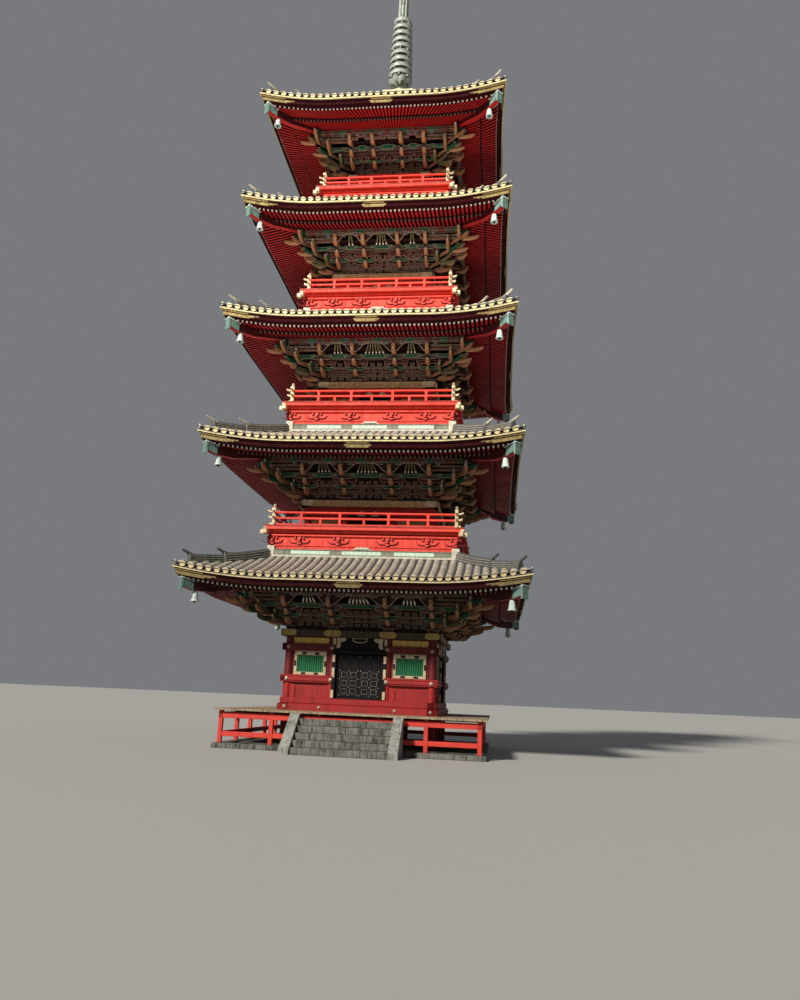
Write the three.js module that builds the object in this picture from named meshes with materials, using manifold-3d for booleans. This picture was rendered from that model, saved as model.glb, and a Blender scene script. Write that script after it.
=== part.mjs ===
// A five-storeyed timber pagoda, three bays a side, with copper roofs and a bronze finial.
// Millimetres, +Z up. The origin is on the ground under the tower's axis, and the front faces -Y.
// Each storey repeats the one below, a little narrower, so one set of sizes drives them all.
import * as THREE from "three";
import { mergeVertices } from "three/addons/utils/BufferGeometryUtils.js";
import Module from "manifold-3d";

const wasm = await Module();
wasm.setup();

// Driving dimensions of the whole tower
const STOREYS = 5;
const STOREY_PITCH = 4550;
const TAPER = 242;
const COLUMN_LINE = 2420;
const INNER_COLUMN_SHARE = 930 / 2420;
const COLUMN_RADIUS = 150;
const COLUMN_FLAT = COLUMN_RADIUS * Math.cos(Math.PI / 8);
const UPPER_COLUMN_HALF = 135;
const WALL_HALF = 60;
const GAP = 0.3;
const JOINT = 5;

// Eaves, measured in from the tile edge and down from its lower corner
const EAVE_REACH = 3050;
const EAVE_Z = 5120;
const CORNER_LIFT = 320;
const CORNER_FLARE = 110;
const STRAIGHT_SHARE = 0.58;
const BENT_SIDE = [-1, -STRAIGHT_SHARE, STRAIGHT_SHARE, 1];
const BEND_POWER = 1.6;
const FASCIA_SETBACK = 100;
const FASCIA_HEIGHT = 190;
const FLYING_TIP_SETBACK = 270;
const BASE_TIP_SETBACK = 910;
const RAFTER_DROP = 300;
const FLYING_SLOPE = 0.2;
const BASE_SLOPE = 0.35;
const HIP_RAFTER_WIDTH = 200;
const HIP_NOSE_SETBACK = 220;
const HIP_NOSE_DROP = 340;
const HIP_NOSE_DEPTH = 290;
const HIP_MIDDLE_DEPTH = 250;
const HIP_ROOT = 100;
const HIP_ROOT_DEPTH = 180;

// Roofs
const SHELL = 160;
const TILE_THICKNESS = 170;
const ROOF_RISE = 860;
const TOP_ROOF_RISE = 2800;
const STEEPENING = 0.25;
const TOP_STEEPENING = 0.4;
const TOP_SEAT_HALF = 640;
const TOP_SEAT_INNER = 400;
const TOP_SEAT_RISE = 90;
const HIP_RIDGE_WIDTH = 260;
const HIP_RIDGE_HEIGHT = 230;
const HIP_RIDGE_REACH = 0.62;
const LOWER_RIDGE_WIDTH = 208;
const LOWER_RIDGE_HEIGHT = 110;
const RIDGE_INSET = 25;

// Wind bells under the corners
const BELL_SETBACK = 570;
const BELL_RADIUS = 130;
const BELL_HEIGHT = 340;
const BELL_SHOULDER = [94, 289];
const BELL_HANGER = 22;
const BELL_HANGER_LENGTH = 60;
const BELL_HOOK_DROP = 180;

// Bracket zone, from the wall plate up to the outer purlin
const BRACKET_HEIGHT = 1270;
const BRACKET_STEP = 420;
const BRACKET_RISE = 290;
const BRACKET_WIDTH = 180;
const FIRST_ARM_Z = 250;
const ARM_END = 110;
const SEAT_OUT = 190;
const PURLIN_HALF = 100;
const PURLIN_HEIGHT = 200;
const PLATE_OUT = 270;
const PLATE_IN = 140;
const PLATE_HEIGHT = 230;

// Balcony of an upper storey, out from its column line and up from the eave below
const PANEL_OUT = 1010;
const PANEL_THICKNESS = 110;
const BOX_RIDGE_OUT = 1090;
const BOX_RIDGE_TOP = 1360;
const DECK_OUT = 1240;
const DECK_INSIDE = 150;
const DECK_Z = 2000;
const DECK_THICKNESS = 160;
const CORNER_BEAM_OUT = [1080, 1200];
const CORNER_BEAM_END = 1350;
const CORNER_BEAM_HEIGHT = 150;
const RAIL_OUT = 960;
const RAIL_HALF = 40;
const RAIL_HEIGHTS = [[0, 90], [455, 515]];
const RAIL_OVERSHOOT = 230;
const RAIL_BEND = 60;
const RAIL_FLARE = 60;
const CORNER_POST_HEIGHT = 640;
const JEWEL_HALF = 55;
const JEWEL_HEIGHT = 150;

// Ground storey
const PLATFORM_HEIGHT = 150;
const PLATFORM_HALF = 4250;
const FLOOR_Z = 1200;
const FLOOR_THICKNESS = 60;
const VERANDAH_HALF = 4270;
const VERANDAH_POST_LINE = 4050;
const VERANDAH_POST_HALF = 65;
const EDGE_BEAM = [900, 1080];
const EDGE_BEAM_HALF = 70;
const TIE_RAIL = [350, 500];
const TIE_HALF = 45;
const SILL_TOP = 1620;
const SILL_STEP = 1420;
const SILL_OUT = [250, 190];
const LEDGER_IN = 260;
const LEDGER_OUT = 320;
const LEDGER_HEIGHT = 140;
const WAIST_RAIL = [2110, 2350];
const UPPER_RAIL = [3150, 3380];
const RAIL_BAND_OUT = 220;
const GROUND_PLATE_Z = 3620;
const WINDOW_HALF = 450;
const WINDOW_Z = [2450, 3000];

// Doorway and doors
const DOOR_HALF = 700;
const DOOR_HEAD = 3060;
const DOOR_FOOT = 1700;
const HEAD_HEIGHT = 80;
const LEAF_SETBACK = 5;
const JAMB_HALF = 80;
const LEAF_GAP = 10;
const LEAF_THICKNESS = 60;
const PIVOT_INSET = 12;
const PIVOT_RADIUS = 10;
const PIVOT_GAP = 0.5;
const CLOSED_DOOR_HALF = 35;

// Front stair
const STAIR_HALF = 1750;
const CHEEK_WIDTH = 300;
const RISERS = 6;
const TREAD_DEPTH = 240;
const CHEEK_TOP_DROP = 60;
const CHEEK_LANDING = 150;
const CHEEK_FOOT = 170;
const CHEEK_TOE = 60;

// Finial
const FINIAL_BOX_HALF = 650;
const FINIAL_BOX_HEIGHT = 600;
const BOWL = [[480, 0], [480, 90], [384, 330], [192, 430], [240, 500], [528, 900]];
const LOTUS_TOP = 900;
const SPIRE_RADIUS = 100;
const MAST_TAPER = 0.7;
const SLEEVE_FOOT = 31100;
const SLEEVE_RADIUS = 150;
const SPOKE_HALF = 25;
const SPOKE_HEIGHT = [70, 115];
const RING_COUNT = 9;
const RING_SPACING = 350;
const FIRST_RING_Z = 27990;
const LOWEST_RING_RADIUS = 520;
const RING_TAPER = 12;
const RING_HEIGHT = 190;
const RING_BAND = 60;
const FLAME_Z = [31900, 33300];
const FLAME = [[0, 100], [252, 0], [420, 630], [189, 980], [126, 1400], [0, 1250]];
const FLAME_THICKNESS = 30;
const JEWELS = [[50, 0], [150, 450], [50, 750], [190, 1080]];
const FINIAL_TOP = 34900;

function paint(name, color, roughness, metalness) {
  const material = new THREE.MeshStandardMaterial({ color, roughness, metalness });
  material.name = name;
  return material;
}
const vermilion = paint("vermilion", 0xd8402c, 0.5, 0);
const crimson = paint("crimson", 0x8f1c22, 0.5, 0);
const polychrome = paint("polychrome", 0x6d5a4a, 0.6, 0);
const copper = paint("copper", 0x8a8474, 0.5, 0.6);
const bronze = paint("bronze", 0x5f6f62, 0.5, 0.7);
const lacquer = paint("lacquer", 0x14100f, 0.3, 0);
const stone = paint("stone", 0x77756c, 0.9, 0);
const boards = paint("boards", 0x8a6a4a, 0.8, 0);

// three.js makes each shape, and manifold-3d joins and cuts them
function solidOf(geometry) {
  const bare = geometry.clone();
  bare.deleteAttribute("normal");
  bare.deleteAttribute("uv");
  const merged = mergeVertices(bare, 1e-3);
  return new wasm.Manifold(new wasm.Mesh({
    numProp: 3,
    vertProperties: new Float32Array(merged.attributes.position.array),
    triVerts: new Uint32Array(merged.index.array),
  }));
}

function geometryOf(solid) {
  const mesh = solid.getMesh();
  const geometry = new THREE.BufferGeometry();
  geometry.setAttribute("position", new THREE.BufferAttribute(mesh.vertProperties, 3));
  geometry.setIndex(new THREE.BufferAttribute(mesh.triVerts, 1));
  return geometry;
}

const join = (geometries) => geometries.map(solidOf).reduce((whole, piece) => whole.add(piece));
const cut = (solid, tools) => tools.reduce((rest, tool) => rest.subtract(solidOf(tool)), solid);

function box([x0, x1], [y0, y1], [z0, z1]) {
  const geometry = new THREE.BoxGeometry(x1 - x0, y1 - y0, z1 - z0);
  return geometry.translate((x0 + x1) / 2, (y0 + y1) / 2, (z0 + z1) / 2);
}

function post(x, y, radius, z0, z1, sides = 8) {
  const geometry = new THREE.CylinderGeometry(radius, radius, z1 - z0, sides);
  return geometry.rotateX(Math.PI / 2).rotateZ(Math.PI / sides).translate(x, y, (z0 + z1) / 2);
}

// Turned about the tower's own direction of up, from a profile of [radius, height]
function turned(profile, sides, x = 0, y = 0) {
  const points = profile.map(([radius, z]) => new THREE.Vector2(radius, z));
  return new THREE.LatheGeometry(points, sides).rotateX(Math.PI / 2).translate(x, y, 0);
}

// A ring on a square plan: a lathe of the closed section [half width, height], squared off afterwards.
// places are the stations along a side, from -1 to 1, and curve(half, along) says how far a point there
// moves out and up.
function squareRing(section, places = [-1, 1], curve = () => [0, 0]) {
  const steps = places.length - 1;
  const closed = [...section, section[0]].map(([half, z]) => new THREE.Vector2(half, z));
  const geometry = new THREE.LatheGeometry(closed, 4 * steps, Math.PI / 4);
  geometry.rotateX(Math.PI / 2);
  const position = geometry.attributes.position;
  const hundredth = (value) => Math.round(value * 100) / 100;
  for (let i = 0; i < position.count; i++) {
    const half = Math.hypot(position.getX(i), position.getY(i));
    const turns = Math.atan2(position.getY(i), position.getX(i)) / (Math.PI / 2);
    const side = Math.floor(turns + 0.5 + 1e-6);
    const along = places[Math.round((turns - side + 0.5) * steps)];
    const [out, up] = curve(half, along);
    const point = new THREE.Vector2(half + out, (half + out) * along);
    point.rotateAround(new THREE.Vector2(), (side * Math.PI) / 2);
    position.setXYZ(i, hundredth(point.x), hundredth(point.y), hundredth(position.getZ(i) + up));
  }
  cutAlongShorterDiagonals(geometry);
  return geometry;
}

// Two bent rings that lie on each other fit only if their four-sided faces are split the same way
function cutAlongShorterDiagonals(geometry) {
  const corner = (i) => new THREE.Vector3().fromBufferAttribute(geometry.attributes.position, i);
  const distance = (i, j) => corner(i).distanceTo(corner(j));
  const index = geometry.index.array;
  for (let i = 0; i < index.length; i += 6) {
    const [a, b, d, c] = index.slice(i, i + 4);
    if (distance(a, c) < distance(b, d)) {
      index.set([a, b, c, a, c, d], i);
    }
  }
}

const beamRing = (inner, outer, z0, z1) => squareRing([[inner, z0], [outer, z0], [outer, z1], [inner, z1]]);

// A plate standing on the line from the axis out to -Y, cut to an outline of [distance out, height]
function plate(outline, thickness) {
  const shape = new THREE.Shape(outline.map(([out, z]) => new THREE.Vector2(out, z)));
  const geometry = new THREE.ExtrudeGeometry(shape, { depth: thickness, bevelEnabled: false });
  return geometry.translate(0, 0, -thickness / 2).rotateX(Math.PI / 2).rotateZ(-Math.PI / 2);
}

const quarter = (geometry, side) => geometry.rotateZ((side * Math.PI) / 2);
const onFourSides = (make) => [0, 1, 2, 3].flatMap((side) => make(side).map((g) => quarter(g, side)));
const onFourCorners = (make) => onFourSides((side) => make(side).map((g) => g.rotateZ(Math.PI / 4)));

const pagoda = new THREE.Group();
pagoda.name = "pagoda";

function add(name, shape, material) {
  const mesh = new THREE.Mesh(shape.isBufferGeometry ? shape : geometryOf(shape), material);
  mesh.name = name;
  pagoda.add(mesh);
}

// Sizes of storey number n, counted from 1 at the ground
function sizesOf(n) {
  const column = COLUMN_LINE - TAPER * (n - 1);
  const eaveZ = EAVE_Z + STOREY_PITCH * (n - 1);
  const top = n === STOREYS;
  return {
    top,
    column,
    inner: column * INNER_COLUMN_SHARE,
    eave: column + EAVE_REACH,
    eaveZ,
    plateTop: eaveZ - BRACKET_HEIGHT,
    roofTop: top ? TOP_SEAT_HALF : column - TAPER + BOX_RIDGE_OUT,
    rise: top ? TOP_ROOF_RISE : ROOF_RISE,
    steepening: top ? TOP_STEEPENING : STEEPENING,
    curveFrom: column - TAPER + BOX_RIDGE_OUT,
  };
}

// The eave line bends up and out towards its corners, and the bend dies away up the roof
function bendOf(s) {
  return (half, along) => {
    const reach = Math.max(0, (half - s.curveFrom) / (s.eave - s.curveFrom)) ** BEND_POWER;
    const bend = reach * Math.max(0, (Math.abs(along) - STRAIGHT_SHARE) / (1 - STRAIGHT_SHARE));
    return [CORNER_FLARE * bend, CORNER_LIFT * bend];
  };
}

function roofSurface(s, half) {
  const climb = (s.eave - half) / (s.eave - s.roofTop);
  return s.eaveZ + TILE_THICKNESS + s.rise * ((1 - s.steepening) * climb + s.steepening * climb ** 2);
}

// Stations down a roof, shared by the roof, the timber under it and the ridges on it
function stationsOf(s) {
  const shares = s.top ? [0, 0.25, 0.5, 0.75] : [0, 0.5];
  const stations = shares.map((share) => s.roofTop + share * (s.eave - s.roofTop));
  return [...stations, s.eave - FASCIA_SETBACK, s.eave];
}

function soffit(s, half) {
  const baseTip = s.eave - BASE_TIP_SETBACK;
  return s.eaveZ - RAFTER_DROP + BASE_SLOPE * (baseTip - half);
}

function roofOf(s) {
  const stations = stationsOf(s);
  const upper = stations.map((half) => [half, roofSurface(s, half)]);
  const lower = stations.map((half) => [half, roofSurface(s, half) - SHELL]);
  const [, topZ] = upper[0];
  const [, underZ] = lower[0];
  const inner = s.top ? TOP_SEAT_INNER : s.roofTop - BOX_RIDGE_OUT + PANEL_OUT + GAP;
  const capZ = s.top ? topZ + TOP_SEAT_RISE : s.eaveZ + BOX_RIDGE_TOP;
  const section = [[inner, underZ], ...lower, ...upper.reverse(), [s.roofTop, capZ], [inner, capZ]];
  return solidOf(squareRing(section, BENT_SIDE, bendOf(s))).add(join(hipRidges(s)));
}

// A tall ridge runs part of the way down each hip, over a lower one that runs to the corner
function hipRidges(s) {
  const bend = bendOf(s);
  const ridge = (stations, height) => {
    const line = stations.map((half) => {
      const [out, up] = bend(half, 1);
      return [(half + out) * Math.SQRT2, roofSurface(s, half) + up];
    });
    const sunk = SHELL / 3;
    return [...line.map(([d, z]) => [d, z - sunk]), ...line.reverse().map(([d, z]) => [d, z + height])];
  };
  const start = s.top ? FINIAL_BOX_HALF + RIDGE_INSET : s.roofTop - RIDGE_INSET;
  const all = [start, ...stationsOf(s).slice(1)];
  const reach = s.roofTop + HIP_RIDGE_REACH * (s.eave - s.roofTop);
  const short = [...all.filter((half) => half < reach), reach];
  return onFourCorners(() => [
    plate(ridge(short, HIP_RIDGE_HEIGHT), HIP_RIDGE_WIDTH),
    plate(ridge(all.slice(0, -1), LOWER_RIDGE_HEIGHT), LOWER_RIDGE_WIDTH),
  ]);
}

// A deep rafter runs out under each hip. With a clearance it is the notch that it passes through.
function hipRafter(s, clearance = 0) {
  const bend = bendOf(s);
  const diagonal = (half, z) => {
    const [out, up] = bend(half, 1);
    return [(half + out) * Math.SQRT2, z + up];
  };
  const nose = s.eave - HIP_NOSE_SETBACK;
  const baseTip = s.eave - BASE_TIP_SETBACK;
  const noseZ = s.eaveZ - RAFTER_DROP - HIP_NOSE_DROP;
  const root = s.column + HIP_ROOT - clearance;
  const outline = [
    diagonal(root, soffit(s, root) - HIP_ROOT_DEPTH - clearance),
    diagonal(baseTip, soffit(s, baseTip) - HIP_MIDDLE_DEPTH - clearance),
    diagonal(nose, noseZ - clearance),
    diagonal(nose, noseZ + HIP_NOSE_DEPTH),
    diagonal(baseTip, soffit(s, baseTip) + HIP_NOSE_DEPTH / 2),
    diagonal(root, soffit(s, root) + HIP_NOSE_DEPTH / 2),
  ];
  return plate(outline, HIP_RAFTER_WIDTH + 2 * clearance);
}

// A wind bell hangs on a short hanger under the nose of each hip rafter
function windBell(s) {
  const half = s.eave - BELL_SETBACK;
  const [out, up] = bendOf(s)(half, 1);
  const hook = s.eaveZ - RAFTER_DROP - BELL_HOOK_DROP + up;
  const foot = hook - BELL_HANGER_LENGTH - BELL_HEIGHT;
  const [shoulder, shoulderZ] = BELL_SHOULDER;
  const profile = [
    [0, foot], [BELL_RADIUS, foot], [shoulder, foot + shoulderZ],
    [BELL_HANGER, foot + BELL_HEIGHT], [BELL_HANGER, hook], [0, hook],
  ];
  return turned(profile, 6, 0, -(half + out) * Math.SQRT2);
}

function eavesOf(s) {
  const flyingTip = s.eave - FLYING_TIP_SETBACK;
  const baseTip = s.eave - BASE_TIP_SETBACK;
  const fascia = s.eave - FASCIA_SETBACK;
  const wall = s.column - WALL_HALF;
  const underTiles = stationsOf(s).filter((half) => half > wall && half <= fascia);
  const tops = underTiles.map((half) => [half, roofSurface(s, half) - SHELL - GAP]);
  const section = [
    [wall, soffit(s, wall)],
    [baseTip, soffit(s, baseTip)],
    [baseTip, s.eaveZ - RAFTER_DROP + FLYING_SLOPE * (flyingTip - baseTip)],
    [flyingTip, s.eaveZ - RAFTER_DROP],
    [flyingTip, s.eaveZ - FASCIA_HEIGHT],
    [fascia, s.eaveZ - FASCIA_HEIGHT],
    ...tops.slice().reverse(),
    [wall, tops[0][1]],
  ];
  const timber = solidOf(squareRing(section, BENT_SIDE, bendOf(s)));
  return timber.add(join(onFourCorners(() => [hipRafter(s), windBell(s)])));
}

// Three-step bracket sets on the columns and corners, tied by beams, carry the outer purlin
function bracketsOf(s) {
  const foot = s.plateTop + GAP;
  const purlin = s.column + 3 * BRACKET_STEP;
  const purlinFoot = soffit(s, purlin + PURLIN_HALF) - PURLIN_HEIGHT;
  const armTop = purlinFoot + PURLIN_HEIGHT / 2;
  const stepFoot = (step) => foot + FIRST_ARM_Z + BRACKET_RISE * (step - 1);
  const outline = (stretch) => {
    const points = [[0, foot], [SEAT_OUT, foot], [SEAT_OUT, stepFoot(1)]];
    for (let step = 1; step <= 3; step++) {
      const out = step * BRACKET_STEP + ARM_END;
      points.push([out, stepFoot(step)], [out, step < 3 ? stepFoot(step + 1) : armTop]);
    }
    return [...points, [0, armTop]].map(([out, z]) => [(s.column + out) * stretch, z]);
  };
  const sloped = (inner, outer, z) => squareRing([
    [inner, z], [outer, z], [outer, soffit(s, outer) - GAP], [inner, soffit(s, inner) - GAP],
  ]);
  const set = (x) => plate(outline(1), BRACKET_WIDTH).translate(x, 0, 0);
  const sets = onFourSides(() => [-s.inner, s.inner].map(set));
  const corners = onFourCorners(() => [plate(outline(Math.SQRT2), BRACKET_WIDTH)]);
  const whole = join([
    sloped(s.column - WALL_HALF, s.column + WALL_HALF, foot),
    sloped(purlin - PURLIN_HALF, purlin + PURLIN_HALF, purlinFoot),
    ...sets,
    ...corners,
  ]);
  return cut(whole, onFourCorners(() => [hipRafter(s, GAP)]));
}

// Columns, boards between them and the wall plate of an upper storey
function wallOf(s, below) {
  const foot = below.eaveZ + DECK_Z + DECK_THICKNESS + GAP;
  const plateFoot = s.plateTop - PLATE_HEIGHT;
  const across = [-s.column - UPPER_COLUMN_HALF, -s.column + WALL_HALF];
  const columns = onFourSides(() => [-s.column, -s.inner, s.inner].map(
    (x) => box([x - UPPER_COLUMN_HALF, x + UPPER_COLUMN_HALF], across, [foot, plateFoot + JOINT]),
  ));
  return join([
    beamRing(s.column - WALL_HALF, s.column + WALL_HALF, foot, plateFoot + JOINT),
    beamRing(s.column - PLATE_IN, s.column + PLATE_OUT, plateFoot, s.plateTop),
    ...columns,
  ]);
}

// The balcony: a boarded base on the roof below, corner beams and a deck
function balconyOf(s, below) {
  const foot = roofSurface(below, below.roofTop) - SHELL;
  const deckZ = below.eaveZ + DECK_Z;
  const end = s.column + CORNER_BEAM_END;
  const beamDepth = CORNER_BEAM_OUT.map((out) => -s.column - out).reverse();
  const cornerBeam = () => box([-end, end], beamDepth, [deckZ - CORNER_BEAM_HEIGHT, deckZ + JOINT]);
  return join([
    beamRing(s.column + PANEL_OUT - PANEL_THICKNESS, s.column + PANEL_OUT, foot, deckZ + JOINT),
    beamRing(s.column - DECK_INSIDE, s.column + DECK_OUT, deckZ, deckZ + DECK_THICKNESS),
    ...onFourSides(() => [cornerBeam()]),
  ]);
}

// The railing: two rails and short posts, with jewels on the corner posts. The top rail runs past the
// corners in tips that sweep up.
function railingOf(s, below) {
  const line = s.column + RAIL_OUT;
  const foot = below.eaveZ + DECK_Z + DECK_THICKNESS + GAP;
  const across = [-line - RAIL_HALF, -line + RAIL_HALF];
  const crown = foot + CORNER_POST_HEIGHT;
  const [low, high] = RAIL_HEIGHTS[1].map((z) => foot + z);
  const postAt = (x, top) => box([x - RAIL_HALF, x + RAIL_HALF], across, [foot, top]);
  const tip = () => plate([
    [line, low], [line + RAIL_BEND, low], [line + RAIL_OVERSHOOT, low + RAIL_FLARE],
    [line + RAIL_OVERSHOOT, high + RAIL_FLARE], [line + RAIL_BEND, high], [line, high],
  ], 2 * RAIL_HALF);
  const jewel = [[0, crown - JOINT], [JEWEL_HALF, crown - JOINT], [0, crown + JEWEL_HEIGHT]];
  return join([
    ...RAIL_HEIGHTS.map(([z0, z1]) => beamRing(line - RAIL_HALF, line + RAIL_HALF, foot + z0, foot + z1)),
    ...onFourSides(() => [
      postAt(-line, crown),
      ...[-s.column, -s.inner, s.inner, s.column].map((x) => postAt(x, low + JOINT)),
      tip().rotateZ(Math.PI / 2).translate(0, -line, 0),
      tip().rotateZ(-Math.PI / 2).translate(0, -line, 0),
      turned(jewel, 4, -line, -line),
    ]),
  ]);
}

function stonePlatform() {
  return box([-PLATFORM_HALF, PLATFORM_HALF], [-PLATFORM_HALF, PLATFORM_HALF], [0, PLATFORM_HEIGHT]);
}

function frontStair() {
  const back = VERANDAH_HALF + GAP;
  const rise = FLOOR_Z / RISERS;
  const steps = [[back, 0]];
  for (let tread = RISERS - 1; tread > 0; tread--) {
    const out = back + (RISERS - 1 - tread) * TREAD_DEPTH;
    steps.push([out, tread * rise], [out + TREAD_DEPTH, tread * rise]);
  }
  const toe = back + (RISERS - 1) * TREAD_DEPTH;
  steps.push([toe, 0]);
  const cheek = [
    [back, 0], [back, FLOOR_Z - CHEEK_TOP_DROP], [back + CHEEK_LANDING, FLOOR_Z - CHEEK_TOP_DROP],
    [toe + CHEEK_TOE, CHEEK_FOOT], [toe + CHEEK_TOE, 0],
  ];
  const middle = STAIR_HALF - CHEEK_WIDTH / 2;
  return join([
    plate(steps, 2 * middle),
    plate(cheek, CHEEK_WIDTH).translate(-middle, 0, 0),
    plate(cheek, CHEEK_WIDTH).translate(middle, 0, 0),
  ]);
}

const ledgerTop = FLOOR_Z - FLOOR_THICKNESS - GAP;

// Square posts under the floor, at places along one side of a square
function floorPosts(places, line, top) {
  const half = VERANDAH_POST_HALF;
  return onFourSides(() => places.map(
    (x) => box([x - half, x + half], [-line - half, -line + half], [PLATFORM_HEIGHT + GAP, top]),
  ));
}

// The corner columns of the ground storey. With a clearance they are the holes that they pass through.
function cornerColumns(s, top, clearance = 0) {
  const radius = COLUMN_RADIUS + clearance / Math.cos(Math.PI / 8);
  return onFourSides(() => [post(-s.column, -s.column, radius, PLATFORM_HEIGHT + GAP, top)]);
}
const columnHoles = (s) => cornerColumns(s, GROUND_PLATE_Z, GAP);

// The verandah floor on its posts, with an edge beam and a tie rail lower down
function verandah(s) {
  const line = VERANDAH_POST_LINE;
  const underFloor = FLOOR_Z - FLOOR_THICKNESS;
  return join([
    beamRing(s.column + SILL_OUT[0] + GAP, VERANDAH_HALF, underFloor, FLOOR_Z),
    beamRing(line - EDGE_BEAM_HALF, line + EDGE_BEAM_HALF, ...EDGE_BEAM),
    beamRing(line - TIE_HALF, line + TIE_HALF, ...TIE_RAIL),
    ...floorPosts([-line, -s.column, -s.inner, s.inner, s.column], line, underFloor + JOINT),
  ]);
}

// The floor inside, notched round the corner columns
function groundFloor(s) {
  const half = s.column - WALL_HALF - GAP;
  const floor = box([-half, half], [-half, half], [FLOOR_Z - FLOOR_THICKNESS, FLOOR_Z]);
  return cut(solidOf(floor), columnHoles(s));
}

// The corner columns stand on the platform and carry the wall plate
function groundColumns(s) {
  return join([
    ...cornerColumns(s, GROUND_PLATE_Z + JOINT),
    beamRing(s.column - PLATE_IN, s.column + PLATE_OUT, GROUND_PLATE_Z, s.plateTop),
  ]);
}

// The ledger under the floor, on short posts below the inner columns
function floorLedger(s) {
  const foot = ledgerTop - LEDGER_HEIGHT;
  const whole = join([
    beamRing(s.column - LEDGER_IN, s.column + LEDGER_OUT, foot, ledgerTop),
    ...floorPosts([-s.inner, s.inner], s.column, foot + JOINT),
  ]);
  return cut(whole, columnHoles(s));
}

// The sill under the walls, in two steps
function wallSill(s) {
  const inner = s.column - WALL_HALF;
  const whole = join([
    beamRing(inner, s.column + SILL_OUT[0], ledgerTop + GAP, SILL_STEP),
    beamRing(inner, s.column + SILL_OUT[1], SILL_STEP - JOINT, SILL_TOP),
  ]);
  return cut(whole, columnHoles(s));
}

// A rail that clasps all the columns above the windows
function upperRail(s) {
  return beamRing(s.column + COLUMN_FLAT + GAP, s.column + RAIL_BAND_OUT, ...UPPER_RAIL);
}

const wallRange = [SILL_TOP + GAP, GROUND_PLATE_Z - GAP];

// How far the waist rail of a wall runs: past the corner on the front and back, up to that rail on the sides
const pastCorner = (s) => s.column + RAIL_BAND_OUT;
const toCorner = (s) => s.column + COLUMN_FLAT - JOINT - GAP;

// One side bay of a ground-storey wall: boards with a window cut through, an inner column, and the waist rail
// outside them, halved over the corner column
function sideBay(s, hand, railEnd) {
  const near = s.inner + COLUMN_FLAT - JOINT;
  const far = s.column - COLUMN_FLAT - GAP;
  const middle = (s.inner + s.column) / 2;
  const ordered = (a, b) => (hand > 0 ? [a, b] : [-b, -a]);
  const through = [-s.column - COLUMN_RADIUS, -s.column + COLUMN_RADIUS];
  const panel = box(ordered(near, far), [-s.column - WALL_HALF, -s.column + WALL_HALF], wallRange);
  const window = box(ordered(middle - WINDOW_HALF, middle + WINDOW_HALF), through, WINDOW_Z);
  const column = post(hand * s.inner, -s.column, COLUMN_RADIUS, ...wallRange);
  const railDepth = [-s.column - RAIL_BAND_OUT, -s.column - COLUMN_FLAT + JOINT];
  const rail = box(ordered(s.inner - WALL_HALF, railEnd), railDepth, WAIST_RAIL);
  const boards = cut(solidOf(panel), [window]).add(solidOf(column));
  return boards.add(cut(solidOf(rail), columnHoles(s)));
}

// A whole wall with a doorway: two side bays joined by the boards over the door
function doorWall(s, railEnd) {
  const depth = [-s.column - WALL_HALF, -s.column + WALL_HALF];
  const overDoor = box([-s.inner, s.inner], depth, [DOOR_HEAD + HEAD_HEIGHT + GAP, wallRange[1]]);
  return sideBay(s, -1, railEnd).add(sideBay(s, 1, railEnd)).add(solidOf(overDoor));
}

// The lacquered frame in a doorway, up to a height
function doorFrame(s, topZ) {
  const half = s.inner - COLUMN_FLAT - GAP;
  const depth = [-s.column - JAMB_HALF, -s.column + JAMB_HALF];
  const through = [depth[0] - JOINT, depth[1] + JOINT];
  const whole = solidOf(box([-half, half], depth, [wallRange[0], topZ]));
  return cut(whole, [box([-DOOR_HALF, DOOR_HALF], through, [DOOR_FOOT, DOOR_HEAD])]);
}

// A pair of shut leaves in their frame, with the seam between them
function closedDoor(s) {
  const width = [-DOOR_HALF - JOINT, DOOR_HALF + JOINT];
  const depth = [-s.column - CLOSED_DOOR_HALF, -s.column + CLOSED_DOOR_HALF];
  const leaves = box(width, depth, [DOOR_FOOT - JOINT, DOOR_HEAD + JOINT]);
  const seamDepth = [-s.column - JAMB_HALF, -s.column - CLOSED_DOOR_HALF / 2];
  const seam = box([-LEAF_GAP / 2, LEAF_GAP / 2], seamDepth, [DOOR_FOOT, DOOR_HEAD]);
  return cut(doorFrame(s, DOOR_HEAD + HEAD_HEIGHT).add(solidOf(leaves)), [seam]);
}

// A leaf that turns on pivot pins in the threshold and the head, at its outer front edge
function doorLeaf(s, hand) {
  const front = -s.column - JAMB_HALF + LEAF_SETBACK;
  const outer = DOOR_HALF - LEAF_GAP;
  const ordered = hand > 0 ? [LEAF_GAP / 2, outer] : [-outer, -LEAF_GAP / 2];
  const leaf = box(ordered, [front, front + LEAF_THICKNESS], [DOOR_FOOT + LEAF_GAP, DOOR_HEAD - LEAF_GAP]);
  const pinX = hand * (outer - PIVOT_INSET);
  const pin = post(pinX, front + PIVOT_INSET, PIVOT_RADIUS, DOOR_FOOT + PIVOT_GAP, DOOR_HEAD - PIVOT_GAP);
  return join([leaf, pin]);
}

// A square base, an inverted bowl and a lotus flare
function finialBase(s) {
  const seat = roofSurface(s, s.roofTop) + TOP_SEAT_RISE + GAP;
  const crown = seat + FINIAL_BOX_HEIGHT;
  const [[bowlRadius]] = BOWL;
  const bowl = [
    [0, crown - JOINT], [bowlRadius, crown - JOINT],
    ...BOWL.slice(1).map(([radius, z]) => [radius, crown + z]),
    [0, crown + LOTUS_TOP],
  ];
  const half = FINIAL_BOX_HALF;
  const body = box([-half, half], [-half, half], [seat, crown]);
  return join([body, turned(bowl, 12)]);
}

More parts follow.
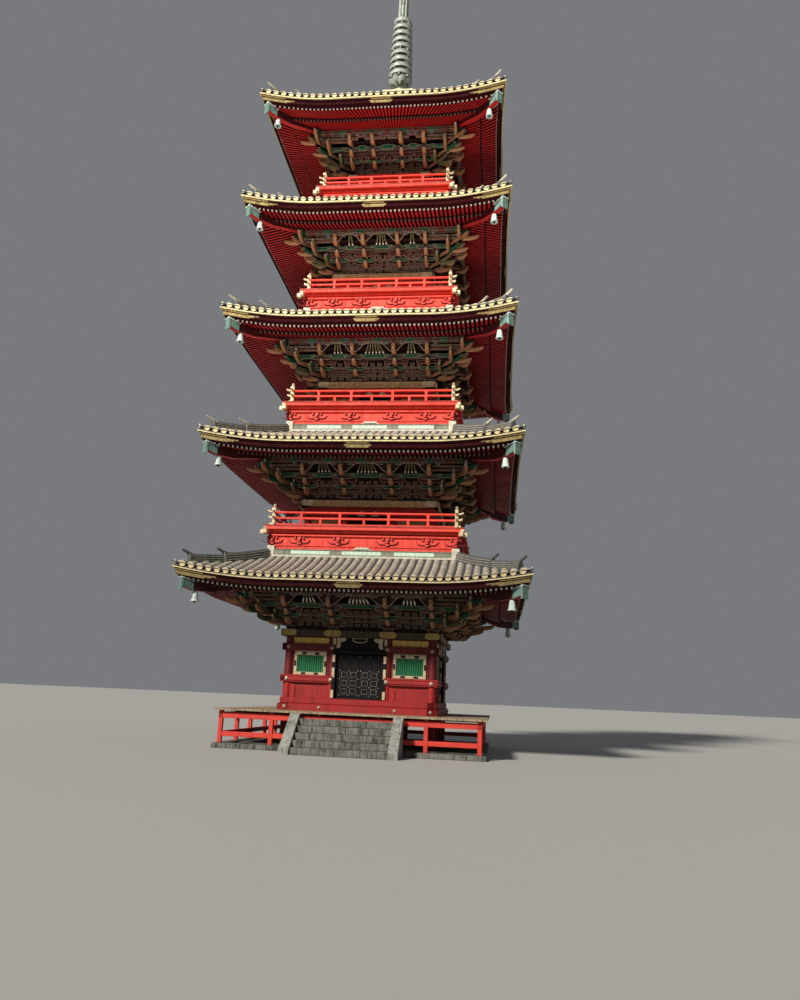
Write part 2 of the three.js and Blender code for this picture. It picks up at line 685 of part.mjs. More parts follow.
// The mast with its nine rings, each on a pair of spokes set across the pair below, the sleeve that holds
// the flame plates, and the two jewels
function finialSpire(s) {
  const foot = roofSurface(s, s.roofTop) + TOP_SEAT_RISE + GAP + FINIAL_BOX_HEIGHT + LOTUS_TOP + GAP;
  const [flameFoot, flameTop] = FLAME_Z;
  const mast = [
    [0, foot], [SPIRE_RADIUS, foot], [SPIRE_RADIUS * MAST_TAPER, SLEEVE_FOOT],
    [SLEEVE_RADIUS, SLEEVE_FOOT], [SLEEVE_RADIUS, flameFoot],
    ...JEWELS.map(([radius, z]) => [radius, flameTop + z]),
    [0, FINIAL_TOP],
  ];
  const pieces = [turned(mast, 8)];
  for (let i = 0; i < RING_COUNT; i++) {
    const z = FIRST_RING_Z + i * RING_SPACING;
    const radius = LOWEST_RING_RADIUS - RING_TAPER * i;
    const inner = radius - RING_BAND;
    const top = z + RING_HEIGHT;
    const section = [[inner, z], [radius, z], [radius, top], [inner, top], [inner, z]];
    const reach = radius - RING_BAND / 2;
    const spoke = box([-reach, reach], [-SPOKE_HALF, SPOKE_HALF], SPOKE_HEIGHT.map((up) => z + up));
    pieces.push(turned(section, 8), quarter(spoke, i % 2));
  }
  const flame = FLAME.map(([out, up]) => [out, flameFoot + up]);
  return join([...pieces, ...onFourSides(() => [plate(flame, FLAME_THICKNESS)])]);
}

const ground = sizesOf(1);
add("stone_platform", stonePlatform(), stone);
add("front_stair", frontStair(), stone);
add("verandah", verandah(ground), crimson);
add("ground_floor", groundFloor(ground), boards);
add("ground_columns", groundColumns(ground), crimson);
add("floor_ledger", floorLedger(ground), crimson);
add("wall_sill", wallSill(ground), crimson);
add("upper_rail", upperRail(ground), crimson);
add("front_wall_left", sideBay(ground, -1, pastCorner(ground)), vermilion);
add("front_wall_right", sideBay(ground, 1, pastCorner(ground)), vermilion);
add("front_door_frame", doorFrame(ground, wallRange[1]), lacquer);
add("front_door_left", doorLeaf(ground, -1), lacquer);
add("front_door_right", doorLeaf(ground, 1), lacquer);
["right", "back", "left"].forEach((side, i) => {
  const turn = [0, 0, (i + 1) * 90];
  const railEnd = side === "back" ? pastCorner(ground) : toCorner(ground);
  add(`${side}_wall`, doorWall(ground, railEnd).rotate(turn), vermilion);
  add(`${side}_door`, closedDoor(ground).rotate(turn), lacquer);
});
for (let n = 1; n <= STOREYS; n++) {
  const s = sizesOf(n);
  if (n > 1) {
    const below = sizesOf(n - 1);
    add(`storey${n}_balcony`, balconyOf(s, below), vermilion);
    add(`storey${n}_railing`, railingOf(s, below), vermilion);
    add(`storey${n}_wall`, wallOf(s, below), crimson);
  }
  add(`storey${n}_brackets`, bracketsOf(s), polychrome);
  add(`storey${n}_eaves`, eavesOf(s), crimson);
  add(`storey${n}_roof`, roofOf(s), copper);
}
const highest = sizesOf(STOREYS);
add("finial_base", finialBase(highest), bronze);
add("finial_spire", finialSpire(highest), bronze);

export default pagoda;
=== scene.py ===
import math

import bmesh
import bpy
from mathutils import Matrix, Vector


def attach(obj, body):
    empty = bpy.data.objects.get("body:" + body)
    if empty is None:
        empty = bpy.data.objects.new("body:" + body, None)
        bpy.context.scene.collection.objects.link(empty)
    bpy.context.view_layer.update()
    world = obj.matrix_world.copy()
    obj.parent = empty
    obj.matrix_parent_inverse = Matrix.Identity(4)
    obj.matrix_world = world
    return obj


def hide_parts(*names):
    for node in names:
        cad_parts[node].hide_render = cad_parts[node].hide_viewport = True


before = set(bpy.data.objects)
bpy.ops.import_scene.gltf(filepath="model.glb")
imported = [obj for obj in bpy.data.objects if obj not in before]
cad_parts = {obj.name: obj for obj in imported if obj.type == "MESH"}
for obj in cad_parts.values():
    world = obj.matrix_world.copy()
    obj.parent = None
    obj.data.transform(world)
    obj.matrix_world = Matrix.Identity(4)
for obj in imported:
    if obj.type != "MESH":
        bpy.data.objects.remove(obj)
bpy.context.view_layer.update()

# The ground, the daylight and the view.
# A person stands in front of the stair, a little to the right, and looks up at the tower. The floor is
# plain and pale. A soft key light comes from the front left, and a low fill in front of the tower lights
# its upper eaves from below.
EYE = Vector((4.5615, -29.3018, 1.75))
LOOK_LEFT = 0.1279
LOOK_UP = 0.2418
HEAD_TILT = -0.0434
LENS_MM = 28.8
GROUND_HALF = 400.0
GROUND_Z = -0.002
GROUND_GREY = (0.33, 0.33, 0.32, 1)
KEY_STRENGTH = 5.4
KEY_TOWARD = (0.45, 0.80, -0.59)
KEY_SOFTNESS = math.radians(7)
FILL_WATTS = 8500
FILL_PLACE = (-1.0, -18.0, 2.5)
FILL_TOWARD = (0.03, 0.50, 0.86)
FILL_CONE = math.radians(64)
FILL_RADIUS = 2.0
SKY = (0.86, 0.89, 0.94, 1)
SKY_STRENGTH = 0.22

across = Vector((math.cos(LOOK_LEFT), math.sin(LOOK_LEFT), 0))
ahead = Vector((-math.sin(LOOK_LEFT), math.cos(LOOK_LEFT), 0))
forward = ahead * math.cos(LOOK_UP) + Vector((0, 0, math.sin(LOOK_UP)))
above = across.cross(forward)
right = across * math.cos(HEAD_TILT) - above * math.sin(HEAD_TILT)
up = across * math.sin(HEAD_TILT) + above * math.cos(HEAD_TILT)
camera_data = bpy.data.cameras.new("camera")
camera_data.lens = LENS_MM
camera_data.clip_end = 2 * GROUND_HALF
camera = bpy.data.objects.new("camera", camera_data)
camera.matrix_world = Matrix.Translation(EYE) @ Matrix((right, up, -forward)).transposed().to_4x4()
bpy.context.collection.objects.link(camera)
bpy.context.scene.camera = camera


def add_light(name, kind, strength, colour, toward, place=(0, 0, 0)):
    light = bpy.data.lights.new(name, kind)
    light.energy = strength
    light.color = colour
    lamp = bpy.data.objects.new(name, light)
    lamp.location = place
    lamp.rotation_euler = Vector(toward).to_track_quat("-Z", "Y").to_euler()
    bpy.context.collection.objects.link(lamp)
    return lamp


key = add_light("key_light", "SUN", KEY_STRENGTH, (1.0, 0.94, 0.85), KEY_TOWARD)
key.data.angle = KEY_SOFTNESS
fill = add_light("low_fill", "SPOT", FILL_WATTS, (1.0, 0.90, 0.80), FILL_TOWARD, FILL_PLACE)
fill.data.shadow_soft_size = FILL_RADIUS
fill.data.spot_size = FILL_CONE
fill.data.spot_blend = 1.0
fill.visible_camera = False
world = bpy.data.worlds.new("studio")
world.use_nodes = True
background = world.node_tree.nodes["Background"].inputs
background["Color"].default_value = SKY
background["Strength"].default_value = SKY_STRENGTH
bpy.context.scene.world = world
bpy.context.scene.view_settings.view_transform = "Standard"

bm = bmesh.new()
bmesh.ops.create_grid(bm, size=GROUND_HALF, matrix=Matrix.Translation((0, 0, GROUND_Z)))
ground_mesh = bpy.data.meshes.new("ground")
bm.to_mesh(ground_mesh)
bm.free()
ground = bpy.data.objects.new("ground", ground_mesh)
bpy.context.collection.objects.link(ground)
ground_paint = bpy.data.materials.new("pale_ground")
ground_paint.use_nodes = True
plain = ground_paint.node_tree.nodes["Principled BSDF"].inputs
plain["Base Color"].default_value = GROUND_GREY
plain["Roughness"].default_value = 0.9
ground_mesh.materials.append(ground_paint)


# Stone platform and front stair.
# Split blocks of grey volcanic stone, dressed on their faces and laid dry. Their edges are worn round, and
# the faces are stained dark by rain and spotted with pale lichen.
def add_node(tree, kind, settings=(), sources=()):
    made = tree.nodes.new("ShaderNode" + kind)
    for name, value in dict(settings).items():
        if isinstance(name, int) or name in made.inputs:
            made.inputs[name].default_value = value
        else:
            setattr(made, name, value)
    for name, socket in dict(sources).items():
        tree.links.new(socket, made.inputs[name])
    return made


def shader_group(name, inputs, outputs):
    """A node group with named sockets, given as {name: (kind, default)} and {name: kind}."""
    group = bpy.data.node_groups.new(name, "ShaderNodeTree")
    for label, (kind, default) in inputs.items():
        socket = group.interface.new_socket(name=label, in_out="INPUT", socket_type="NodeSocket" + kind)
        socket.default_value = default
    for label, kind in outputs.items():
        group.interface.new_socket(name=label, in_out="OUTPUT", socket_type="NodeSocket" + kind)
    return group, group.nodes.new("NodeGroupInput").outputs, group.nodes.new("NodeGroupOutput").inputs


# Weather: broad stains, streaks that run down and fine grit. Painted shade darkens the paint on the lower
# storeys, and painted light makes it lighter towards the top
weather_and_shade, given, wanted = shader_group(
    "weather_and_shade",
    {
        "Paint": ("Color", (0.5, 0.5, 0.5, 1)),
        "Stain": ("Color", (0.1, 0.1, 0.1, 1)),
        "Amount": ("Float", 0.4),
        "Size": ("Float", 0.5),
        "Grain": ("Float", 0.03),
        "Roughness": ("Float", 0.5),
    },
    {"Color": "Color", "Roughness": "Float", "Height": "Float"},
)


def weather_and_shade_step(kind, settings=(), sources=(), output=0):
    return add_node(weather_and_shade, kind, settings, sources).outputs[output]


place = weather_and_shade_step("TexCoord", output="Object")
coarse = weather_and_shade_step("Math", {"operation": "DIVIDE", 0: 1.0}, {1: given["Size"]})
fine = weather_and_shade_step("Math", {"operation": "DIVIDE", 0: 1.0}, {1: given["Grain"]})
broad_noise = {"Detail": 6.0, "Roughness": 0.65}
broad = weather_and_shade_step("TexNoise", broad_noise, {"Vector": place, "Scale": coarse}, "Fac")
drawn_out = weather_and_shade_step("Mapping", {"Scale": (4.0, 4.0, 0.4)}, {"Vector": place})
streaks = weather_and_shade_step("TexNoise", {"Detail": 4.0}, {"Vector": drawn_out, "Scale": coarse}, "Fac")
grit = weather_and_shade_step("TexNoise", {"Detail": 3.0}, {"Vector": place, "Scale": fine}, "Fac")
blotches = weather_and_shade_step("Math", {"operation": "MULTIPLY"}, {0: broad, 1: streaks})
stain_edge = {"From Min": 0.17, "From Max": 0.37}
mask = weather_and_shade_step("MapRange", stain_edge, {"Value": blotches, "To Max": given["Amount"]})
layers = {0: mask, 6: given["Paint"], 7: given["Stain"]}
stained = weather_and_shade_step("Mix", {"data_type": "RGBA"}, layers, 2)
dapple = weather_and_shade_step("MapRange", {"To Min": 0.75, "To Max": 1.25}, {"Value": grit})
level = weather_and_shade_step("SeparateXYZ", {}, {0: place}, "Z")
# Painted shade and light: paint is darkened to 0.6 below 3 m and lightened to 1.2 above 16 m
painted_shade_levels = {"From Min": 3.0, "From Max": 16.0, "To Min": 0.60, "To Max": 1.20}
painted_height_shade = weather_and_shade_step("MapRange", painted_shade_levels, {"Value": level})
shade = weather_and_shade_step("Math", {"operation": "MULTIPLY"}, {0: dapple, 1: painted_height_shade})
toned = weather_and_shade_step("VectorMath", {"operation": "SCALE"}, {0: stained, "Scale": shade})
dulled = weather_and_shade_step("Math", {"operation": "MULTIPLY_ADD", 1: 0.35}, {0: mask, 2: given["Roughness"]})
height = weather_and_shade_step("Math", {"operation": "ADD"}, {0: grit, 1: broad})
for name, socket in (("Color", toned), ("Roughness", dulled), ("Height", height)):
    weather_and_shade.links.new(socket, wanted[name])


def finish(
    name, paint, stain, amount=0.6, size=0.2, grain=0.02, roughness=0.6, metallic=0.0, bump=0.002, shine=0.3
):
    """A weathered finish, with painted shade low down and painted light high up. Paint and stain are linear
    colours, and size, grain and bump are in metres.
    """
    material = bpy.data.materials.new(name)
    material.use_nodes = True
    tree = material.node_tree
    worn = tree.nodes.new("ShaderNodeGroup")
    worn.node_tree = weather_and_shade
    for socket, value in zip(worn.inputs, ((*paint, 1), (*stain, 1), amount, size, grain, roughness)):
        socket.default_value = value
    surface = tree.nodes["Principled BSDF"]
    surface.inputs["Metallic"].default_value = metallic
    surface.inputs["Specular IOR Level"].default_value = shine
    tree.links.new(worn.outputs["Color"], surface.inputs["Base Color"])
    tree.links.new(worn.outputs["Roughness"], surface.inputs["Roughness"])
    relief = add_node(tree, "Bump", {"Distance": bump}, {"Height": worn.outputs["Height"]})
    tree.links.new(relief.outputs["Normal"], surface.inputs["Normal"])
    return material


def at(x, y, z, turn=0.0):
    return Matrix.Translation((x, y, z)) @ Matrix.Rotation(turn, 4, "Z")


def add_block(bm, corner, opposite, finish_index=0, bevel=0.0):
    """A rectangular piece between two opposite corners, with its edges taken off by the bevel."""
    low, high = (Vector([pick(pair) for pair in zip(corner, opposite)]) for pick in (min, max))
    place = Matrix.Translation((low + high) / 2) @ Matrix.Diagonal((*(high - low), 1))
    verts = bmesh.ops.create_cube(bm, size=1, matrix=place)["verts"]
    for face in {face for vert in verts for face in vert.link_faces}:
        face.material_index = finish_index
    if bevel:
        edges = list({edge for vert in verts for edge in vert.link_edges})
        bmesh.ops.bevel(bm, geom=edges, offset=bevel, affect="EDGES", segments=1, profile=0.5, material=-1)
    return verts


def add_plate(bm, outline, thickness, place=Matrix(), finishes=(0, 0), rim=0.0, rim_finish=0):
    """A board with an outline of (x, z), centred on its thickness. finishes are its faces and its sides."""
    verts = [bm.verts.new(place @ Vector((x, -thickness / 2, z))) for x, z in outline]
    front = bm.faces.new(verts)
    made = bmesh.ops.extrude_face_region(bm, geom=[front])["geom"]
    back = next(item for item in made if isinstance(item, bmesh.types.BMFace))
    bmesh.ops.translate(bm, verts=back.verts, vec=place.to_3x3() @ Vector((0, thickness, 0)))
    faces = {face for vert in [*verts, *back.verts] for face in vert.link_faces}
    bmesh.ops.recalc_face_normals(bm, faces=list(faces))
    for face in faces:
        face.material_index = finishes[1]
    front.material_index = back.material_index = finishes[0]
    if rim:
        framed = bmesh.ops.inset_individual(bm, faces=[front, back], thickness=rim, depth=0)
        for face in framed["faces"]:
            face.material_index = rim_finish


def on_four_sides(bm):
    """Repeats what is built on the front side on the other three."""
    side = bpy.data.meshes.new("side")
    bm.to_mesh(side)
    for turn in range(3):
        side.transform(Matrix.Rotation(math.pi / 2, 4, "Z"))
        bm.from_mesh(side)
    bpy.data.meshes.remove(side)


def make_piece(name, bm, materials, replaces=(), body="tower", smooth_below=0):
    """Turns a bmesh into a piece that rides on a body. Edges under smooth_below degrees look round."""
    mesh = bpy.data.meshes.new(name)
    bm.to_mesh(mesh)
    bm.free()
    for material in materials:
        mesh.materials.append(material)
    if smooth_below:
        mesh.polygons.foreach_set("use_smooth", [True] * len(mesh.polygons))
        mesh.set_sharp_from_angle(angle=math.radians(smooth_below))
    piece = bpy.data.objects.new(name, mesh)
    bpy.context.collection.objects.link(piece)
    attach(piece, body)
    if replaces:
        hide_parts(*replaces)
    return piece


PLATFORM_HALF = 4.25
PLATFORM_HEIGHT = 0.15
FILLING_DROP = 0.01
KERB_DEPTH = 0.42
KERBS = 9
JOINT = 0.006
STONE_BEVEL = 0.014
GREY, PALE_GREY = range(2)

stone = finish("grey_stone", (0.24, 0.24, 0.22), (0.05, 0.058, 0.042), 0.95, 0.30, 0.05, 0.85, bump=0.012)
pale_stone = finish("pale_stone", (0.44, 0.44, 0.41), (0.11, 0.12, 0.09), 0.8, 0.25, 0.05, 0.85, bump=0.010)

bm = bmesh.new()
kerb = 2 * PLATFORM_HALF / KERBS
for i in range(1, KERBS):
    start = -PLATFORM_HALF + i * kerb
    end, depth = start + kerb - JOINT, KERB_DEPTH
    if i == KERBS - 1:
        end, depth = PLATFORM_HALF, kerb - JOINT
    back = (end, -PLATFORM_HALF + depth, PLATFORM_HEIGHT)
    add_block(bm, (start, -PLATFORM_HALF, 0), back, GREY, STONE_BEVEL)
on_four_sides(bm)
half = PLATFORM_HALF - KERB_DEPTH - JOINT
add_block(bm, (-half, -half, 0), (half, half, PLATFORM_HEIGHT - FILLING_DROP), GREY)
make_piece("platform_stones", bm, [stone], ["stone_platform"])

STAIR_BACK = 4.2703
STAIR_HALF = 1.75
CHEEK_WIDTH = 0.30
RISERS = 6
TREAD_DEPTH = 0.24
FLOOR_Z = 1.20
CHEEK_TOP = 1.14
CHEEK_LANDING = 0.15
CHEEK_FOOT = 0.17
CHEEK_TOE = 0.06
CHEEK_RIM = 0.03
ODD_JOINTS = (-1, -0.38, 0.45, 1)
EVEN_JOINTS = (-1, 0.05, 1)

bm = bmesh.new()
rise = FLOOR_Z / RISERS
inside = STAIR_HALF - CHEEK_WIDTH
for step in range(1, RISERS):
    front = STAIR_BACK + (RISERS - step) * TREAD_DEPTH
    joints = ODD_JOINTS if step % 2 else EVEN_JOINTS
    for left, end in zip(joints, joints[1:]):
        corner = (left * inside + JOINT / 2, -front, (step - 1) * rise + 0.002)
        add_block(bm, corner, (end * inside - JOINT / 2, -STAIR_BACK, step * rise), GREY, STONE_BEVEL)
toe = STAIR_BACK + (RISERS - 1) * TREAD_DEPTH + CHEEK_TOE
cheek = [(STAIR_BACK, 0), (STAIR_BACK, CHEEK_TOP), (STAIR_BACK + CHEEK_LANDING, CHEEK_TOP)]
cheek += [(toe, CHEEK_FOOT), (toe, 0)]
for side in (-1, 1):
    place = at(side * (STAIR_HALF - CHEEK_WIDTH / 2), 0, 0, -math.pi / 2)
    add_plate(bm, cheek, CHEEK_WIDTH, place, (PALE_GREY, PALE_GREY), CHEEK_RIM, PALE_GREY)
make_piece("stair_stones", bm, [stone, pale_stone], ["front_stair"])

# Verandah round the ground storey.
# Thick planed boards of bare wood lie square to the walls, on red beams and short red posts. The corner
# boards meet on the diagonal.
VERANDAH_HALF = 4.27
VERANDAH_INSIDE = 2.6703
BOARD_WIDTH = 0.23
BOARD_GAP = 0.005
BOARD_THICKNESS = 0.06
BOARD_BEVEL = 0.004
POST_LINE = 4.05
POST_HALF = 0.065
EDGE_BEAM = (0.90, 1.08)
EDGE_BEAM_HALF = 0.07
TIE_RAIL = (0.35, 0.50)
TIE_HALF = 0.045
GROUND_LINE = 2.42
INNER_SHARE = 930 / 2420
WOOD_BEVEL = 0.010
PAINT_WEAR = (0.5, 0.7, 0.04, 0.5)
BARE, POST_RED = range(2)

bare_boards = finish("bare_boards", (0.50, 0.38, 0.25), (0.19, 0.14, 0.10), 0.8, 0.4, 0.02, 0.75, bump=0.004)
vermilion = finish("vermilion_paint", (0.84, 0.064, 0.038), (0.48, 0.030, 0.019), *PAINT_WEAR)


def divide(bm, place, normal=(1, 0, 0), clear_outer=False):
    everything = bm.verts[:] + bm.edges[:] + bm.faces[:]
    bmesh.ops.bisect_plane(bm, geom=everything, plane_co=place, plane_no=normal, clear_outer=clear_outer)


def close_holes(bm):
    bmesh.ops.holes_fill(bm, edges=[edge for edge in bm.edges if edge.is_boundary], sides=0)


def clip_to_front(bm):
    """Takes off what lies past the two diagonals of the front side, and closes the cuts."""
    for side in (-1, 1):
        divide(bm, (0, 0, 0), (side, 1, 0), True)
    close_holes(bm)


def mitred_boards(half, width, back, low, high, finish_index, bevel=0.0):
    """The floor boards of the front side, from y = -half to the back, cut off on the diagonals."""
    bm = bmesh.new()
    count = math.ceil(half / width)
    for i in range(-count, count):
        corner = (i * width + BOARD_GAP / 2, -half, low)
        add_block(bm, corner, ((i + 1) * width - BOARD_GAP / 2, back, high), finish_index, bevel)
    clip_to_front(bm)
    return bm


board_foot = FLOOR_Z - BOARD_THICKNESS
bm = mitred_boards(VERANDAH_HALF, BOARD_WIDTH, -VERANDAH_INSIDE, board_foot, FLOOR_Z, BARE, BOARD_BEVEL)
beam_end = POST_LINE + EDGE_BEAM_HALF
for half, (low_z, high_z), reach in ((EDGE_BEAM_HALF, EDGE_BEAM, beam_end), (TIE_HALF, TIE_RAIL, POST_LINE)):
    corner = (-reach, -POST_LINE - half, low_z)
    add_block(bm, corner, (reach, -POST_LINE + half, high_z), POST_RED, WOOD_BEVEL)
inner_line = GROUND_LINE * INNER_SHARE
for x in (-POST_LINE, -GROUND_LINE, -inner_line, inner_line, GROUND_LINE):
    foot = (x - POST_HALF, -POST_LINE - POST_HALF, PLATFORM_HEIGHT)
    add_block(bm, foot, (x + POST_HALF, -POST_LINE + POST_HALF, board_foot), POST_RED, WOOD_BEVEL)
on_four_sides(bm)
make_piece("verandah_timber", bm, [bare_boards, vermilion], ["verandah"])
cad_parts["ground_floor"].data.materials.clear()
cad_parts["ground_floor"].data.materials.append(bare_boards)

# Frame of the ground storey.
# Round posts stand behind a two-step sill, and rails are let into them at waist height and over the
# windows. The wall plate lies on top, and cast and gilded metal covers the nails and the post heads.
# Above the waist the posts and the upper rail are painted a darker crimson, as painted shade under the eave.
COLUMN_RADIUS = 0.15
COLUMN_SIDES = 24
WALL_HALF = 0.06
LEDGER_Z = (0.99, 1.139)
LEDGER_Y = (0.32, 0.26)
SILL_STEP = 1.42
SILL_TOP = 1.62
SILL_OUT = (0.25, 0.19)
SILL_IN = 0.14
SILL_BEVEL = 0.02
WAIST_RAIL = (2.11, 2.35)
WAIST_MOULDING = ((0.0, 0.05, -0.03), (0.05, 0.18, 0.0), (0.18, 0.24, 0.012))
UPPER_RAIL = (3.15, 3.38)
RAIL_OUT = 0.22
PLATE_Z = (3.62, 3.85)
PLATE_OUT = 0.27
PLATE_IN = 0.14
BOSS_RADIUS = 0.062
RAIL_BOSS_Z = (2.21, 3.265)
SILL_BOSS_Z = 1.31
CORNER_HEAD_HALF = 0.24
INNER_HEAD_HALF = 0.28
CRIMSON, PLATE, GILT, BOSS, EAVE_SHADE = range(5)

# Partly painted shade: the ground storey's crimson is deeper than the vermilion above, partly its own colour
# and partly the shade it stands in
crimson = finish("crimson_paint", (0.44, 0.016, 0.016), (0.16, 0.008, 0.009), *PAINT_WEAR)
# Painted shade: a darker crimson for the posts, rail and boards above the waist, which lie in the eave's
# shade
eave_shade_crimson = finish("eave_shade_crimson_paint", (0.17, 0.008, 0.010), (0.08, 0.005, 0.006), *PAINT_WEAR)
gilding = finish("gilding", (0.50, 0.37, 0.12), (0.20, 0.14, 0.05), 0.6, 0.2, 0.015, 0.42, 0.4, 0.003)
cream_gold = finish("cream_gilding", (0.74, 0.62, 0.40), (0.36, 0.28, 0.17), 0.7, 0.15, 0.02, 0.42, 0.2)
plate_paint = finish("plate_paint", (0.085, 0.062, 0.04), (0.035, 0.026, 0.02), 0.7, 0.25, 0.03)
boss_metal = finish("boss_metal", (0.62, 0.50, 0.42), (0.30, 0.22, 0.18), 0.6, 0.1, 0.02, 0.4, 0.4)
black = ((0.004, 0.003, 0.004), (0.010, 0.008, 0.007))
lacquer = finish("black_lacquer", *black, 0.4, 0.3, 0.03, 0.5, shine=0.15)


def template(bm):
    mesh = bpy.data.meshes.new("template")
    bm.to_mesh(mesh)
    bm.free()
    return mesh


def stamp(bm, mesh, place=Matrix()):
    """Adds a copy of a template to a piece in the making."""
    copy = mesh.copy()
    copy.transform(place)
    bm.from_mesh(copy)
    bpy.data.meshes.remove(copy)


def turned(profile, steps, finish_index=0):
    """A template turned about the Z axis from a profile of (radius, height)."""
    bm = bmesh.new()
    verts = [bm.verts.new((radius, 0, z)) for radius, z in profile]
    edges = [bm.edges.new(pair) for pair in zip(verts, verts[1:])]
    full = 2 * math.pi
    bmesh.ops.spin(bm, geom=verts + edges, axis=(0, 0, 1), angle=full, steps=steps, use_merge=True)
    bmesh.ops.remove_doubles(bm, verts=bm.verts, dist=0.0001)
    close_holes(bm)
    bmesh.ops.recalc_face_normals(bm, faces=bm.faces)
    for face in bm.faces:
        face.material_index = finish_index
    return template(bm)


def symmetric(side):
    """Completes an outline from its right-hand half."""
    return side + [(-x, z) for x, z in reversed(side) if x]


def add_column(bm, x, y, radius, low, high, shaft):
    stamp(bm, shaft, at(x, y, low) @ Matrix.Diagonal((radius, radius, high - low, 1)))


def add_boss(bm, x, y, z, radius):
    stamp(bm, boss, at(x, y, z) @ Matrix.Rotation(math.pi / 2, 4, "X") @ Matrix.Scale(radius, 4))


def add_head_plate(bm, x, y, low, high, half):
    """A gilded plate with cut corners that covers a post head."""
    side = [(half * 0.78, high), (half, high - 0.04), (half * 1.04, (low + high) / 2)]
    outline = symmetric([*side, (half, low + 0.05), (half * 0.7, low)])
    add_plate(bm, outline, 0.03, at(x, y, 0), (GILT, GILT), 0.018, GILT)


shaft = [(0, 0), (1, 0), (1, 1), (0, 1)]
red_post = turned(shaft, COLUMN_SIDES, CRIMSON)
eave_shade_post = turned(shaft, COLUMN_SIDES, EAVE_SHADE)
boss = turned([(0, 0), (1, 0), (1, 0.12), (0.72, 0.22), (0.62, 0.5), (0.35, 0.72), (0, 0.8)], 12, BOSS)

bm = bmesh.new()
# The posts change to the painted-shade crimson just under the top of the waist rail
eave_shade_line = WAIST_RAIL[1] - 0.02
for x in (-GROUND_LINE, -inner_line, inner_line):
    add_column(bm, x, -GROUND_LINE, COLUMN_RADIUS, PLATFORM_HEIGHT, eave_shade_line, red_post)
    add_column(bm, x, -GROUND_LINE, COLUMN_RADIUS, eave_shade_line, PLATE_Z[0], eave_shade_post)
ledger, low_sill, high_sill, out, plate_out = (
    GROUND_LINE + proud for proud in (LEDGER_Y[0], *SILL_OUT, RAIL_OUT, PLATE_OUT)
)
back, wall_face = -GROUND_LINE + SILL_IN, -GROUND_LINE - WALL_HALF
for end, inside, low_z, high_z, paint, bevel in (
    (ledger, -GROUND_LINE + LEDGER_Y[1], *LEDGER_Z, CRIMSON, WOOD_BEVEL),
    (low_sill, back, LEDGER_Z[1], SILL_STEP, CRIMSON, SILL_BEVEL),
    (high_sill, back, SILL_STEP, SILL_TOP, CRIMSON, SILL_BEVEL),
    (out, wall_face, *UPPER_RAIL, EAVE_SHADE, WOOD_BEVEL),
    (plate_out, -GROUND_LINE + PLATE_IN, *PLATE_Z, PLATE, 0.015),
):
    add_block(bm, (-end, -end, low_z), (end, inside, high_z), paint, bevel)
for side in (-1, 1):
    for low, high, proud in WAIST_MOULDING:
        corner = (side * (inner_line - WALL_HALF), -out - proud, WAIST_RAIL[0] + low)
        add_block(bm, corner, (side * out, wall_face, WAIST_RAIL[0] + high), CRIMSON, WOOD_BEVEL)
for x in (-GROUND_LINE, -inner_line, inner_line, GROUND_LINE):
    for z in RAIL_BOSS_Z:
        add_boss(bm, x, -out, z, BOSS_RADIUS)
    half = CORNER_HEAD_HALF if abs(x) == GROUND_LINE else INNER_HEAD_HALF
    add_head_plate(bm, x, -plate_out - 0.012, PLATE_Z[0] + 0.01, PLATE_Z[1] - 0.01, half)
for x in (-GROUND_LINE, -inner_line * 1.35, inner_line * 1.35, GROUND_LINE):
    add_boss(bm, x, -low_sill, SILL_BOSS_Z, BOSS_RADIUS * 0.8)
on_four_sides(bm)
frame_nodes = ["ground_columns", "floor_ledger", "wall_sill", "upper_rail"]
frame_finishes = [crimson, plate_paint, gilding, boss_metal, eave_shade_crimson]
make_piece("ground_timber_frame", bm, frame_finishes, frame_nodes, smooth_below=30)

# Walls and windows of the ground storey.
# Red boards fill the bays between the posts; above the waist rail they are painted darker, as painted
# shade under the eave. Each side bay has a window of upright green bars in a pale gilded frame with black
# iron plates, and a bright gilded band under the wall plate.
WALL_BOARDS = 5
BOARD_JOINT = 0.001
WINDOW_HALF = 0.45
WINDOW_Z = (2.45, 3.00)
WINDOW_FRAME = 0.10
WINDOW_HEAD = 0.15
WINDOW_BARS = 12
BAR_HALF = 0.023
OVER_DOOR_Z = 3.1403
BOARDS, WINDOW_GILT, BARS, IRON, BAND, EAVE_SHADE_BOARDS = range(6)
OTHER_SIDES = (("right", 1), ("back", 2), ("left", 3))

window_green = finish("window_green", (0.040, 0.27, 0.11), (0.02, 0.11, 0.05), 0.5, 0.3, 0.03, 0.5)
black_iron = finish("black_iron", (0.016, 0.015, 0.016), (0.05, 0.035, 0.02), 0.5, 0.1, 0.02, 0.45, 0.3)
band_gold = finish("band_gilding", (0.90, 0.60, 0.12), (0.45, 0.28, 0.07), 0.6, 0.2, 0.015, 0.45, 0.1)


def split(left, end, count, spare):
    """The ends of count equal places in a row, each less a spare share of it at both ends."""
    shares = (spare, 1 - spare)
    return [[left + (end - left) * (i + share) / count for share in shares] for i in range(count)]


def turn_to_side(bm, quarters):
    turn = Matrix.Rotation(quarters * math.pi / 2, 3, "Z")
    bmesh.ops.rotate(bm, verts=bm.verts, cent=(0, 0, 0), matrix=turn)


